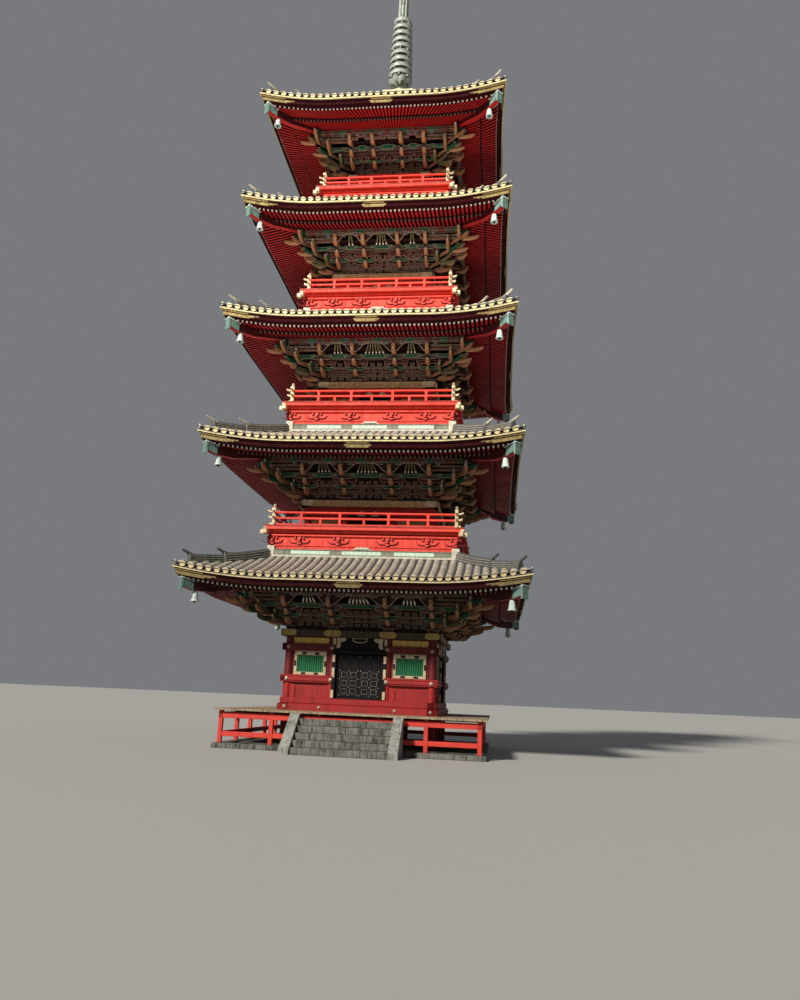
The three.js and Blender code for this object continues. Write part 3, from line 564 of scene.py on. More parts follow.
def wall_bay(side):
    """One side bay, seen from the front, on the right for side 1 and on the left for side -1."""
    bm = bmesh.new()
    near, far = inner_line + 0.05, GROUND_LINE - 0.05
    back, front = -GROUND_LINE + WALL_HALF, -GROUND_LINE - WALL_HALF
    left, end = sorted((side * near, side * far))
    middle = side * (inner_line + GROUND_LINE) / 2
    low_z, high_z = WINDOW_Z
    hole = (middle - WINDOW_HALF, middle + WINDOW_HALF)
    frame_half = WINDOW_HALF + WINDOW_FRAME
    add_block(bm, (left, front, SILL_TOP), (end, back, WAIST_RAIL[1]), BOARDS)
    # Above the waist rail the boards are painted darker, as painted shade under the eave
    for x0, x1, z0, z1 in (
        (left, end, WAIST_RAIL[1], low_z),
        (left, end, high_z, PLATE_Z[0]),
        (left, hole[0], *WINDOW_Z),
        (hole[1], end, *WINDOW_Z),
    ):
        add_block(bm, (x0, front, z0), (x1, back, z1), EAVE_SHADE_BOARDS)
    for x0, x1 in split(left, end, WALL_BOARDS, BOARD_JOINT * WALL_BOARDS / (end - left)):
        add_block(bm, (x0, front - 0.012, SILL_TOP), (x1, front + 0.002, WAIST_RAIL[0]), BOARDS, 0.002)
    casing = symmetric([(0.13, SILL_TOP), (0.13, 1.93), (0.09, 2.02), (0, 2.06)])
    for edge in (near + 0.10, far - 0.10):
        add_plate(bm, casing, 0.05, at(side * edge, front - 0.02, 0), (BOARDS, BOARDS), 0.012, BOARDS)
    for x0, x1, z0, z1 in (
        (middle - frame_half, middle + frame_half, high_z, high_z + WINDOW_HEAD),
        (middle - frame_half, middle + frame_half, low_z - WINDOW_FRAME, low_z),
        (middle - frame_half, hole[0], *WINDOW_Z),
        (hole[1], middle + frame_half, *WINDOW_Z),
    ):
        add_block(bm, (x0, front - 0.05, z0), (x1, front + 0.01, z1), WINDOW_GILT, 0.012)
    for x, z, half_x, half_z in (
        (0.22, high_z + 0.06, 0.075, 0.045),
        (0.22, low_z - 0.045, 0.075, 0.035),
        (frame_half - 0.04, (low_z + high_z) / 2, 0.035, 0.09),
    ):
        for centre in (middle - x, middle + x):
            corner = (centre - half_x, front - 0.06, z - half_z)
            add_block(bm, corner, (centre + half_x, front - 0.04, z + half_z), IRON, 0.006)
    turn = Matrix.Rotation(math.pi / 4, 3, "Z")
    for x in (sum(ends) / 2 for ends in split(*hole, WINDOW_BARS, 0)):
        corner = (x - BAR_HALF, front - BAR_HALF, low_z)
        bar = add_block(bm, corner, (x + BAR_HALF, front + BAR_HALF, high_z), BARS)
        bmesh.ops.rotate(bm, verts=bar, cent=(x, front, 0), matrix=turn)
    corner = (hole[0] - 0.02, back - 0.03, low_z - 0.02)
    add_block(bm, corner, (hole[1] + 0.02, back - 0.01, high_z + 0.02), BARS)
    corner = (left + 0.09, front - 0.045, UPPER_RAIL[1])
    add_block(bm, corner, (end - 0.09, front, PLATE_Z[0] - 0.03), BAND, 0.01)
    return bm


wall_finishes = [crimson, cream_gold, window_green, black_iron, band_gold, eave_shade_crimson]
for side, name in ((-1, "left"), (1, "right")):
    piece = f"front_bay_{name}"
    make_piece(piece, wall_bay(side), wall_finishes, [f"front_wall_{name}"])
for name, quarters in OTHER_SIDES:
    bm = bmesh.new()
    for side in (-1, 1):
        stamp(bm, template(wall_bay(side)))
    # The board over the door is painted darker, as painted shade under the eave
    corner = (-inner_line, -GROUND_LINE - WALL_HALF, OVER_DOOR_Z)
    add_block(bm, corner, (inner_line, -GROUND_LINE + WALL_HALF, PLATE_Z[0]), EAVE_SHADE_BOARDS)
    turn_to_side(bm, quarters)
    make_piece(f"{name}_bays", bm, wall_finishes, [f"{name}_wall"])

# Doors of the ground storey.
# Pairs of black lacquered leaves, plain above and framed into small outlined panels below, hang in a black
# frame. The pale outlines and studs of the panels are painted glints of light on their edges and metal
# fittings. Black boards with cream pieces stand beside it under a thick head rail, and the board above them
# has gilded corners. The front pair turns outward.
DOOR_HALF = 0.70
DOOR_FOOT = 1.70
DOOR_HEAD = 3.06
DOOR_BEVEL = 0.01
JAMB_DEPTH = 0.08
JAMB_OUT = 0.791
HEAD_BOARD = (0.774, 0.236, 3.085)
SURROUND = (0.785, 0.905)
SURROUND_Y = (0.19, 0.02)
CREAM_PIECES = ((1.64, 1.90), (2.30, 2.62), (2.80, 3.04), (3.30, 3.60))
HEAD_RAIL = (0.93, 0.265, 3.24)
HEAD_CORNER = (
    ((0, 0), (0.30, 0), (0.30, 0.08), (0.20, 0.13))
    + ((0.13, 0.13), (0.13, 0.28), (0.07, 0.34), (0, 0.34))
)
LEAF = (0.005, 0.69)
LEAF_Y = (-2.495, -2.435)
LEAF_Z = (1.71, 3.05)
LEAF_RAIL = 0.07
STILE = 0.075
PANEL_ROWS = (0.0, 0.21, 0.42, 0.63, 1.0)
PANEL_INSET = 0.012
SHUT_LEAF_DEPTH = 0.04
LACQUER, DOOR_GILT, GLINT_LINE = range(3)

# Painted highlight: pale lines that stand for glints of light on the panels' edges and fittings
glint_white = finish("door_glint_line", (0.36, 0.32, 0.27), (0.06, 0.05, 0.04), 0.9, 0.15)


def door_frame():
    bm = bmesh.new()
    top = PLATE_Z[0]
    back, front = -GROUND_LINE + JAMB_DEPTH, -GROUND_LINE - JAMB_DEPTH
    half, out, foot = HEAD_BOARD
    rail_half, rail_out, rail_top = HEAD_RAIL
    face = -GROUND_LINE - out
    for side in (-1, 1):
        near, far = SURROUND
        for x0, x1, y0, y1, z0, z1, paint, bevel in (
            (DOOR_HALF, JAMB_OUT, JAMB_DEPTH, -JAMB_DEPTH, SILL_TOP, top, LACQUER, DOOR_BEVEL),
            (near, far, *SURROUND_Y, SILL_TOP, top - 0.01, LACQUER, DOOR_BEVEL),
            *((near + 0.03, far + 0.004, 0.20, 0.15, *z, DOOR_GILT, 0.006) for z in CREAM_PIECES),
        ):
            corner = (side * x0, -GROUND_LINE - y0, z0)
            add_block(bm, corner, (side * x1, -GROUND_LINE - y1, z1), paint, bevel)
        outline = [(side * (half - x), top - 0.02 - z) for x, z in HEAD_CORNER]
        add_plate(bm, outline, 0.02, at(0, face - 0.004, 0), (DOOR_GILT, DOOR_GILT), 0.02, DOOR_GILT)
    add_block(bm, (-DOOR_HALF, front, DOOR_HEAD), (DOOR_HALF, back, top), LACQUER, DOOR_BEVEL)
    add_block(bm, (-DOOR_HALF, front, SILL_TOP), (DOOR_HALF, back, DOOR_FOOT), LACQUER, DOOR_BEVEL)
    add_block(bm, (-half, face, foot), (half, front + 0.01, top - 0.003), LACQUER, DOOR_BEVEL)
    corner = (-rail_half, -GROUND_LINE - rail_out, foot)
    add_block(bm, corner, (rail_half, front, rail_top), LACQUER, 0.05)
    middle = symmetric([(0.26, top - 0.02), (0.23, top - 0.12), (0.10, top - 0.17)])
    add_plate(bm, middle, 0.02, at(0, face - 0.004, 0), (LACQUER, DOOR_GILT), 0.025, DOOR_GILT)
    return bm


def door_leaf(side):
    """A framed leaf: a plain panel above, and rows of small sunk panels below, whose pale outlines and studs
    are painted glints of light.
    """
    bm = bmesh.new()
    front, back = LEAF_Y
    x0, x1 = sorted((side * LEAF[0], side * LEAF[1]))
    low, high = LEAF_Z
    add_block(bm, (x0, front + 0.018, low), (x1, back, high), LACQUER)
    columns = (x0, (x0 + x1 - STILE) / 2, x1 - STILE)
    rows = [low + share * (high - low - LEAF_RAIL) for share in PANEL_ROWS]
    for x in columns:
        add_block(bm, (x, front, low), (x + STILE, front + 0.02, high), LACQUER, 0.004)
    for z in rows:
        add_block(bm, (x0, front + 0.001, z), (x1, front + 0.02, z + LEAF_RAIL), LACQUER, 0.004)
        for x in columns:
            stud = (x + 0.02, front - 0.006, z + 0.018)
            add_block(bm, stud, (x + STILE - 0.02, front + 0.005, z + 0.052), GLINT_LINE, 0.005)
    for bottom, top in zip(rows[:3], rows[1:]):
        z0, z1 = bottom + LEAF_RAIL + PANEL_INSET, top - PANEL_INSET
        for left, end in zip(columns, columns[1:]):
            x0, x1 = left + STILE + PANEL_INSET, end - PANEL_INSET
            outline = [(x0, z0), (x1, z0), (x1, z1), (x0, z1)]
            place = at(0, front + PANEL_INSET, 0)
            add_plate(bm, outline, 0.02, place, (LACQUER, LACQUER), 0.013, GLINT_LINE)
    return bm


door_finishes = [lacquer, cream_gold, glint_white]
make_piece("front_doorway_frame", door_frame(), door_finishes, ["front_door_frame"])
for side, name in ((-1, "left"), (1, "right")):
    leaf = f"front_leaf_{name}"
    make_piece(leaf, door_leaf(side), door_finishes, [f"front_door_{name}"], f"{name}_leaf")
for name, quarters in OTHER_SIDES:
    bm = door_frame()
    for side in (-1, 1):
        stamp(bm, template(door_leaf(side)), at(0, SHUT_LEAF_DEPTH, 0))
    turn_to_side(bm, quarters)
    make_piece(f"{name}_shut_doors", bm, door_finishes, [f"{name}_door"])

# Bracket sets under every eave.
# Painted blocks, boat-shaped arms and carved noses step out three times from the wall plate and carry the
# eave purlin. Each face is painted in a dull colour inside a pale line, and ribs close the coves. The
# arms' edges, the purlin's core, the cove boards and the boards behind and over the sets are painted near
# black, as painted shade.
TAPER = 0.242
PITCH = 4.55
EAVE_REACH = 3.05
FIRST_EAVE = 5.12
CORNER_LIFT = 0.32
CORNER_FLARE = 0.11
STRAIGHT = 0.42
FLYING_TIP = 0.27
BASE_TIP = 0.91
RAFTER_DROP = 0.30
FLYING_SLOPE = 0.20
BASE_SLOPE = 0.35
STOREYS = 5
TOP_SEAT = 0.64
BOX_RIDGE_OUT = 1.09
BRACKET_HEIGHT = 1.27
ROOF_FOOT = 0.17
ROOF_RISE = 0.86
TOP_ROOF_RISE = 2.8


class Storey:
    """The places that the pieces of one storey share, in metres. Its base is the eave of the one below."""

    def __init__(self, number):
        self.number = number
        self.top = number == STOREYS
        self.line = GROUND_LINE - TAPER * (number - 1)
        self.inner = self.line * INNER_SHARE
        self.half = self.line + EAVE_REACH
        self.eave = FIRST_EAVE + PITCH * (number - 1)
        self.base = FIRST_EAVE + PITCH * (number - 2)
        self.plate = self.eave - BRACKET_HEIGHT
        self.bend_from = self.line - TAPER + BOX_RIDGE_OUT
        self.roof_top = TOP_SEAT if self.top else self.bend_from

    def bend(self, x, y, z):
        """Where a point of the front side goes as the eaves sweep up and out to the corners."""
        half = -y
        along = min(1.0, abs(x) / max(half, 0.001))
        reach = max(0.0, (half - self.bend_from) / (self.half - self.bend_from)) ** 1.6
        sweep = reach * max(0.0, (along - STRAIGHT) / (1 - STRAIGHT)) ** 2
        out = CORNER_FLARE * sweep
        return Vector((x + math.copysign(out * along, x), y - out, z + CORNER_LIFT * sweep))

    def soffit(self, half):
        """Height of the lower rafters' undersides at a distance out from the axis."""
        return self.eave - RAFTER_DROP + BASE_SLOPE * (self.half - BASE_TIP - half)

    def roof(self, half):
        """Height of the tiles at a distance out from the axis."""
        climb = (self.half - half) / (self.half - self.roof_top)
        rise, steepening = (TOP_ROOF_RISE, 0.4) if self.top else (ROOF_RISE, 0.25)
        return self.eave + ROOF_FOOT + rise * ((1 - steepening) * climb + steepening * climb**2)


def storey_piece(storey, name, bm, finishes, node=None, smooth_below=0):
    nodes = [f"storey{storey.number}_{node}"] if node else []
    make_piece(f"storey{storey.number}_{name}", bm, finishes, nodes, smooth_below=smooth_below)


storeys = [Storey(number) for number in range(1, STOREYS + 1)]

STEP_OUT = 0.42
ARM_LEVELS = (0.12, 0.36, 0.60)
ARM_HEIGHT = 0.13
ARM_HALF = (0.42, 0.38, 0.38)
ARM_THICKNESS = 0.11
BLOCK_HALF = 0.075
BLOCK_HEIGHT = 0.08
BLOCK_PITCH = 0.26
OUTLINE = 0.018
PURLIN_Z = (1.09, 1.24)
PURLIN_OUT = (1.17, 1.35)
PURLIN_PAINT_PITCH = 0.3
COVE_FOOT = 0.72
COVE_CROWN = 1.035
COVE_TOP = 1.085
COVE_STEPS = 8
RIB_PITCH = 0.13
RIB_HALF = 0.022
RIBS = ((4, 6), (4, 6), (3, 6), (2, 4), (1, 3))
TAN, PALE, GREEN, BLUE, BROWN, RED, SHADE_BLACK, OLIVE, SHELL_WHITE = range(9)

bracket_finishes = [
    finish("ochre_tan_paint", (0.42, 0.21, 0.10), (0.20, 0.09, 0.045), roughness=0.55),
    finish("pale_outline_paint", (0.46, 0.36, 0.25), (0.22, 0.15, 0.10)),
    finish("malachite_paint", (0.018, 0.115, 0.060), (0.010, 0.045, 0.030)),
    finish("azurite_paint", (0.040, 0.075, 0.14), (0.02, 0.04, 0.06)),
    finish("umber_paint", (0.10, 0.056, 0.040), (0.035, 0.02, 0.016)),
    finish("oxide_paint", (0.13, 0.020, 0.020), (0.05, 0.010, 0.010)),
    # Painted shade: near black for the arms' edges, the purlin's core and the boards behind, over and between
    # the sets
    finish("shade_black_paint", (0.040, 0.016, 0.015), (0.015, 0.008, 0.008), roughness=0.65),
    finish("olive_paint", (0.17, 0.15, 0.065), (0.07, 0.06, 0.03)),
    finish("shell_white_paint", (0.85, 0.82, 0.74), (0.45, 0.42, 0.36), 0.4),
]


def outlined_block(bm, low, high, finish_index, line=OUTLINE, taper=1.0):
    """A painted block whose faces have a pale line round them, with its foot narrowed by the taper."""
    verts = add_block(bm, low, high, finish_index)
    middle = (Vector(low) + Vector(high)) / 2
    for vert in verts:
        if vert.co.z < middle.z:
            vert.co.x = middle.x + (vert.co.x - middle.x) * taper
            vert.co.y = middle.y + (vert.co.y - middle.y) * taper
    faces = list({face for vert in verts for face in vert.link_faces})
    for face in bmesh.ops.inset_individual(bm, faces=faces, thickness=line, depth=0)["faces"]:
        face.material_index = PALE


def boat_arm(bm, half, z, out, paint):
    """An arm along the wall whose two ends curve up from a flat foot."""
    side = [(half - 0.19, z), (half - 0.09, z + 0.02), (half - 0.02, z + 0.06), (half, z + ARM_HEIGHT)]
    # Its edges are painted near black, as painted shade
    add_plate(bm, symmetric(side), ARM_THICKNESS, at(0, -out, 0), (paint, SHADE_BLACK), OUTLINE, PALE)


def level_blocks(bm, z, out, spread, paint):
    """The small bearing blocks that sit on an arm."""
    for x in (-spread, 0, spread):
        low = (x - BLOCK_HALF, -out - BLOCK_HALF, z + ARM_HEIGHT)
        high = (x + BLOCK_HALF, -out + BLOCK_HALF, z + ARM_HEIGHT + BLOCK_HEIGHT)
        outlined_block(bm, low, high, paint, 0.013, 0.72)


def carved_nose(body, length, width):
    """The rounded end of an arm: it runs out along -y, swells, and sweeps up to a pale tip."""
    profile = [(0, 0), (0.055, 0), (0.062, 0.12), (0.08, 0.30), (0.088, 0.55), (0.082, 0.80)]
    nose = turned([*profile, (0.055, 0.95), (0, 1)], 8, body)
    for face in nose.polygons:
        if face.center.z > 0.94 or face.center.z < 0.08:
            face.material_index = PALE
    for vert in nose.vertices:
        along = vert.co.z
        rise = 0.13 * along**2 + 0.02 * math.sin(2 * math.pi * along)
        vert.co = Vector((vert.co.x * width, -along * length, vert.co.y * 1.05 + rise))
    return nose


outward = Matrix.Rotation(-math.pi / 2, 4, "Z")
to_the_right = Matrix.Rotation(math.pi / 2, 4, "Z")
diagonal = Matrix.Rotation(math.pi / 4, 4, "Z")
short_nose = carved_nose(TAN, 0.42, 1.0)
long_nose = carved_nose(TAN, 0.80, 0.72)
green_nose = carved_nose(GREEN, 0.50, 0.7)
olive_nose = carved_nose(OLIVE, 0.72, 0.72)


def column_set():
    """The set on a column: x runs along the wall, -y runs out from the column line."""
    bm = bmesh.new()
    outlined_block(bm, (-0.19, -0.19, 0), (0.19, 0.19, 0.12), BROWN, 0.02, 0.7)
    for step, (arm_paint, block_paint) in enumerate(((RED, BROWN), (GREEN, RED), (BROWN, GREEN))):
        z, out = ARM_LEVELS[step], step * STEP_OUT
        boat_arm(bm, ARM_HALF[step], z, out, arm_paint)
        level_blocks(bm, z, out, 0.32, block_paint)
        arm = [(out - 0.3, z), (out + 0.34, z), (out + 0.34, z + ARM_HEIGHT), (out - 0.3, z + ARM_HEIGHT)]
        add_plate(bm, arm, 0.09, outward, (BROWN, SHADE_BLACK))
        stamp(bm, short_nose, at(0, -out - 0.20, z + 0.10))
    boat_arm(bm, 0.60, ARM_LEVELS[1], 0, BROWN)
    boat_arm(bm, 0.46, ARM_LEVELS[2], STEP_OUT, RED)
    level_blocks(bm, 0.88, 3 * STEP_OUT, 0.30, BLUE)
    tail = [(0.3, 0.93), (1.42, 0.82), (1.50, 0.86), (1.50, 0.96), (0.3, 1.06)]
    add_plate(bm, tail, 0.13, outward, (BROWN, TAN), 0.03, TAN)
    return template(bm)


def corner_set():
    """What a corner adds to the set on its column: noses past the corner, and arms on the diagonal."""
    bm = bmesh.new()
    for step, (nose, upper_nose, hip_nose, paint) in enumerate(
        (
            (olive_nose, green_nose, olive_nose, RED),
            (long_nose, olive_nose, green_nose, GREEN),
            (long_nose, green_nose, short_nose, BLUE),
        )
    ):
        out, z = (step + 1) * STEP_OUT, ARM_LEVELS[step] + 0.14
        stamp(bm, nose, at(out - 0.06, -out, z) @ to_the_right)
        stamp(bm, upper_nose, at(out - 0.10, -out, z + 0.19) @ to_the_right)
        low = (out - 0.10, -out - 0.10, z + 0.07)
        outlined_block(bm, low, (out + 0.10, -out + 0.10, z + 0.17), paint, 0.016, 0.8)
        reach = out * math.sqrt(2)
        arm = [(reach - 0.7, z - 0.09), (reach + 0.1, z - 0.09)]
        arm += [(reach + 0.16, z + 0.06), (reach - 0.7, z + 0.06)]
        add_plate(bm, arm, 0.12, outward @ diagonal, (TAN, BROWN), 0.02, PALE)
        stamp(bm, hip_nose, diagonal @ at(0, -reach - 0.06, z - 0.02))
    stamp(bm, long_nose, at(0.12, 0, ARM_LEVELS[0] + 0.06) @ to_the_right)
    return template(bm)


def mirrored(mesh):
    copy = mesh.copy()
    copy.transform(Matrix.Diagonal((-1, 1, 1, 1)))
    copy.flip_normals()
    return copy


def small_blocks(bm, storey, left, end):
    """Rows of small blocks between two neighbouring sets, and larger ones under the top eave."""
    line, foot, middle = storey.line, storey.plate, (left + end) / 2
    count = max(1, round((end - left - 0.35) / BLOCK_PITCH))
    rows = ((0.04, 0.155, BROWN), (0.04, 0.36, RED), (0.04, 0.56, BROWN), (STEP_OUT + 0.02, 0.55, RED))
    for out, low, paint in rows:
        for i in range(count):
            x = middle + (i - (count - 1) / 2) * BLOCK_PITCH
            corner = (x - 0.085, -line - out - 0.05, foot + low)
            outlined_block(bm, corner, (x + 0.085, -line - out + 0.05, foot + low + 0.085), paint, 0.014, 0.8)
    if storey.top:
        half = 0.22 if left < 0 < end else 0.12
        for x, out, low, high, paint in (
            (0.0, 2 * STEP_OUT + 0.05, 0.62, 0.84, GREEN),
            (-0.26, 3 * STEP_OUT - 0.02, 0.86, 0.94, BROWN),
            (0.26, 3 * STEP_OUT - 0.02, 0.86, 0.94, BROWN),
            (0.0, 3 * STEP_OUT - 0.02, 0.98, 1.08, RED),
        ):
            corner = (middle + x - half, -line - out - 0.05, foot + low)
            outlined_block(bm, corner, (middle + x + half, -line - out + 0.03, foot + high), paint, 0.016)


def cove(bm, storey, left, end, ribs):
    """The ribs that close the cove between two neighbouring sets, and the festooned board above them."""
    line, foot, middle = storey.line, storey.plate, (left + end) / 2
    inside, outside = line + 2 * STEP_OUT + 0.06, line + PURLIN_OUT[0] + 0.02
    foot_length = 0.45 if storey.number == 1 else 0.16
    for i in range(ribs):
        aside = (i - (ribs - 1) / 2) * RIB_PITCH
        for near, far, paint in ((0.0, foot_length, SHELL_WHITE), (foot_length, 1.0, OLIVE)):
            for vert in add_block(bm, (-RIB_HALF, -far, 0), (RIB_HALF, -near, 0.035), paint):
                share = -vert.co.y
                vert.co.x += middle + aside * (1 - 0.45 * share)
                vert.co.y = -inside - (outside - inside) * share
                vert.co.z += foot + 0.83 + 0.27 * share
    board = []
    for i in range(COVE_STEPS + 1):
        share = i / COVE_STEPS
        rise = 0.5 - 0.5 * math.cos(math.pi * min(1.0, max(0.0, (share - 0.12) / 0.68)))
        board.append((left + share * 0.84 * (middle - left), COVE_FOOT + (COVE_CROWN - COVE_FOOT) * rise))
    board += [(left + end - x, z) for x, z in reversed(board)] + [(end, COVE_TOP), (left, COVE_TOP)]
    outline = [(x, z + foot) for x, z in board]
    face = -line - 3 * STEP_OUT
    # The cove board is painted near black inside a pale line, as painted shade
    add_plate(bm, outline, 0.06, at(0, face, 0), (SHADE_BLACK, SHADE_BLACK), 0.026, PALE)
    crown = min(0.16, (end - left) * 0.12)
    for x, half, proud, low, high, paint, rim in (
        (middle - (end - left) * 0.30, 0.10, 0.05, 1.0, 1.07, RED, 0.014),
        (middle + (end - left) * 0.30, 0.10, 0.05, 1.0, 1.07, RED, 0.014),
        (middle, crown, 0.06, COVE_CROWN + 0.005, COVE_TOP, GREEN, 0.012),
    ):
        outlined_block(bm, (x - half, face - proud, foot + low), (x + half, face, foot + high), paint, rim)


def cross_beams(bm, storey):
    """The beams that tie the sets of one side together, out to the corner, and the purlin on top."""
    line, foot = storey.line, storey.plate
    for out, low, high, paint in (
        (0.0, 0.29, 0.335, BROWN),
        (0.0, 0.49, 0.535, RED),
        (STEP_OUT, 0.44, 0.50, BROWN),
        (STEP_OUT, 0.80, 0.86, RED),
        (2 * STEP_OUT, 0.67, 0.80, GREEN),
    ):
        reach = line + out + 0.06
        corner = (-reach, -line - out - 0.045, foot + low)
        outlined_block(bm, corner, (reach, -line - out + 0.045, foot + high), paint, 0.014)
    front = -line - 3 * STEP_OUT + 0.10
    for low, high, paint in ((0.84, 0.90, RED), (0.97, 1.03, BROWN)):
        for side in (-1, 1):
            corner = (side * (line + 0.10), front, foot + low)
            opposite = (side * (line + 3 * STEP_OUT - 0.12), front + 0.07, foot + high)
            outlined_block(bm, corner, opposite, paint, 0.014)
    reach, back = line + PURLIN_OUT[1], -line - PURLIN_OUT[0]
    low, high = (foot + z for z in PURLIN_Z)
    # The purlin's core is painted near black, as painted shade, under its painted segments
    add_block(bm, (-reach - 0.20, -reach, low), (reach + 0.20, back, high), SHADE_BLACK)
    count = round(2 * reach / PURLIN_PAINT_PITCH)
    for i, (left, end) in enumerate(split(-reach, reach, count, 0.06)):
        paint = (BROWN, RED, BROWN, GREEN)[i % 4]
        outlined_block(bm, (left, -reach - 0.004, low - 0.004), (end, back - 0.02, high - 0.02), paint, 0.010)


on_column = column_set()
right_corner = corner_set()
left_corner = mirrored(right_corner)
for storey in storeys:
    bm = bmesh.new()
    line, inner, foot = storey.line, storey.inner, storey.plate
    for x in (-line, -inner, inner, line):
        stamp(bm, on_column, at(x, -line, foot))
    stamp(bm, right_corner, at(line, -line, foot))
    stamp(bm, left_corner, at(-line, -line, foot))
    side_ribs, centre_ribs = RIBS[storey.number - 1]
    bays = ((-line, -inner, side_ribs), (-inner, inner, centre_ribs), (inner, line, side_ribs))
    for left, end, ribs in bays:
        small_blocks(bm, storey, left, end)
        if not storey.top:
            cove(bm, storey, left, end, ribs)
    cross_beams(bm, storey)
    board, reach = line - WALL_HALF, line + PURLIN_OUT[1]
    # The boards behind and over the sets are painted near black, as painted shade
    add_block(bm, (-board, -line, foot), (board, -board, storey.soffit(line) - 0.002), SHADE_BLACK)
    add_block(bm, (-reach, -line - 0.82, foot + 1.10), (reach, -line, foot + 1.12), SHADE_BLACK)
    on_four_sides(bm)
    storey_piece(storey, "bracket_sets", bm, bracket_finishes, "brackets", 50)

# Eaves of every storey.
# Two tiers of square rafters with pale end caps carry the eave boards. The lower tier stops at a beam and
# the upper one runs out past it. The rafters are bright red underneath, and their sides and the eave boards
# are painted near black, as painted shade; the caps of the lower tier and the brass plates are painted dull,
# as painted shade. A maroon fascia with brass plates closes the edge, a deep rafter with a verdigris cap
# runs out under each hip, and a wind bell hangs below it.
RAFTER_PITCH = 0.148
RAFTER_HALF = 0.034
RAFTER_DEPTH = 0.085
BASE_DEPTH = 0.10
CAP_HALF = 0.031
CAP_THICKNESS = 0.012
BOARD = 0.03
BOARD_REST = 0.002
FASCIA = ((0.10, 0.14, -0.19, -0.055), (0.06, 0.12, -0.055, 0.0))
CENTRE_PLATE = 0.37
CORNER_PLATE = 0.88
PLATE_STEPS = ((1.0, 1.0, -0.004, 0.008), (1.12, 0.955, 0.035, 0.006), (1.22, 0.92, 0.075, 0.004))
BEND_CUTS = 32
FAN_SPREAD = 0.38
HIP_HALF = 0.10
HIP_FOOT = 0.60
HIP_CROWN = 0.36
BELL_IN = 0.57
RAFTER, END_WHITE, SHADED_EAVE, MAROON, SHADED_BRASS, VERDIGRIS, END_IN_SHADE, BELL = range(8)

eave_finishes = [
    finish("rafter_paint", (0.44, 0.014, 0.015), (0.17, 0.008, 0.009), 0.45, 0.7, 0.03, 0.5),
    finish("rafter_end_white", (0.95, 0.88, 0.78), (0.55, 0.44, 0.34), 0.5, 0.3),
    # Painted shade: near black for the rafters' sides and the eave boards between and over them
    finish("eave_shade_paint", (0.050, 0.003, 0.004), (0.015, 0.002, 0.002), 0.4, 0.7, 0.03),
    finish("maroon_paint", (0.030, 0.0025, 0.004), (0.012, 0.002, 0.003), 0.5, 0.6, 0.03, 0.8, shine=0.1),
    # Painted shade: the fascia's gilded plates, painted dull as they sit in shade
    finish("shaded_eave_brass", (0.21, 0.15, 0.05), (0.10, 0.07, 0.03), 0.7, 0.2, 0.015, 0.45, 0.3, 0.003),
    finish("verdigris", (0.16, 0.28, 0.24), (0.06, 0.10, 0.088), 0.8, 0.12, bump=0.004),
    # Painted shade: the lower tier's pale caps, painted dim as they sit in shade
    finish("rafter_end_in_shade", (0.22, 0.10, 0.09), (0.10, 0.05, 0.04), 0.6, 0.3),
    finish("bell_verdigris", (0.68, 0.80, 0.74), (0.26, 0.38, 0.34), 0.7, 0.12, 0.02, 0.55, bump=0.003),
]


def add_rafter(bm, tip, root, depth, cap_finish):
    """A square rafter from its tip back to its root, bright underneath and painted near black on its sides as
    shade, with a cap on its end.
    """
    low = (tip.x - RAFTER_HALF, tip.y, tip.z)
    verts = add_block(bm, low, (tip.x + RAFTER_HALF, tip.y + 1, tip.z + depth), SHADED_EAVE)
    for vert in verts:
        if vert.co.y > tip.y + 0.5:
            vert.co += root - tip - Vector((0, 1, 0))
    for face in {face for vert in verts for face in vert.link_faces}:
        face.normal_update()
        if face.normal.z < -0.5:
            face.material_index = RAFTER
    low = (tip.x - CAP_HALF, tip.y - CAP_THICKNESS, tip.z + 0.008)
    add_block(bm, low, (tip.x + CAP_HALF, tip.y + 0.002, tip.z + depth - 0.008), cap_finish, 0.008)


def add_run(bm, storey, outer, inner, low, high, finish_index, span=(-1, 1)):
    """A board along the front eave, whose heights are (front, back) or one number for both. Its ends follow
    the diagonals, and it takes the sweep of the corners."""
    (low_front, low_back), (high_front, high_back) = (
        z if isinstance(z, (tuple, list)) else (z, z) for z in (low, high)
    )
    start, end = span
    part = bmesh.new()
    add_block(part, (start, 0, 0), (end, 1, 1), finish_index)
    cuts = max(2, round(BEND_CUTS * (end - start) / 2))
    for i in range(1, cuts):
        divide(part, (start + (end - start) * i / cuts, 0, 0))
    for vert in part.verts:
        share = vert.co.y
        half = outer + (inner - outer) * share
        bottom = low_front + (low_back - low_front) * share
        top = high_front + (high_back - high_front) * share
        vert.co = storey.bend(vert.co.x * half, -half, bottom + (top - bottom) * vert.co.z)
    stamp(bm, template(part))


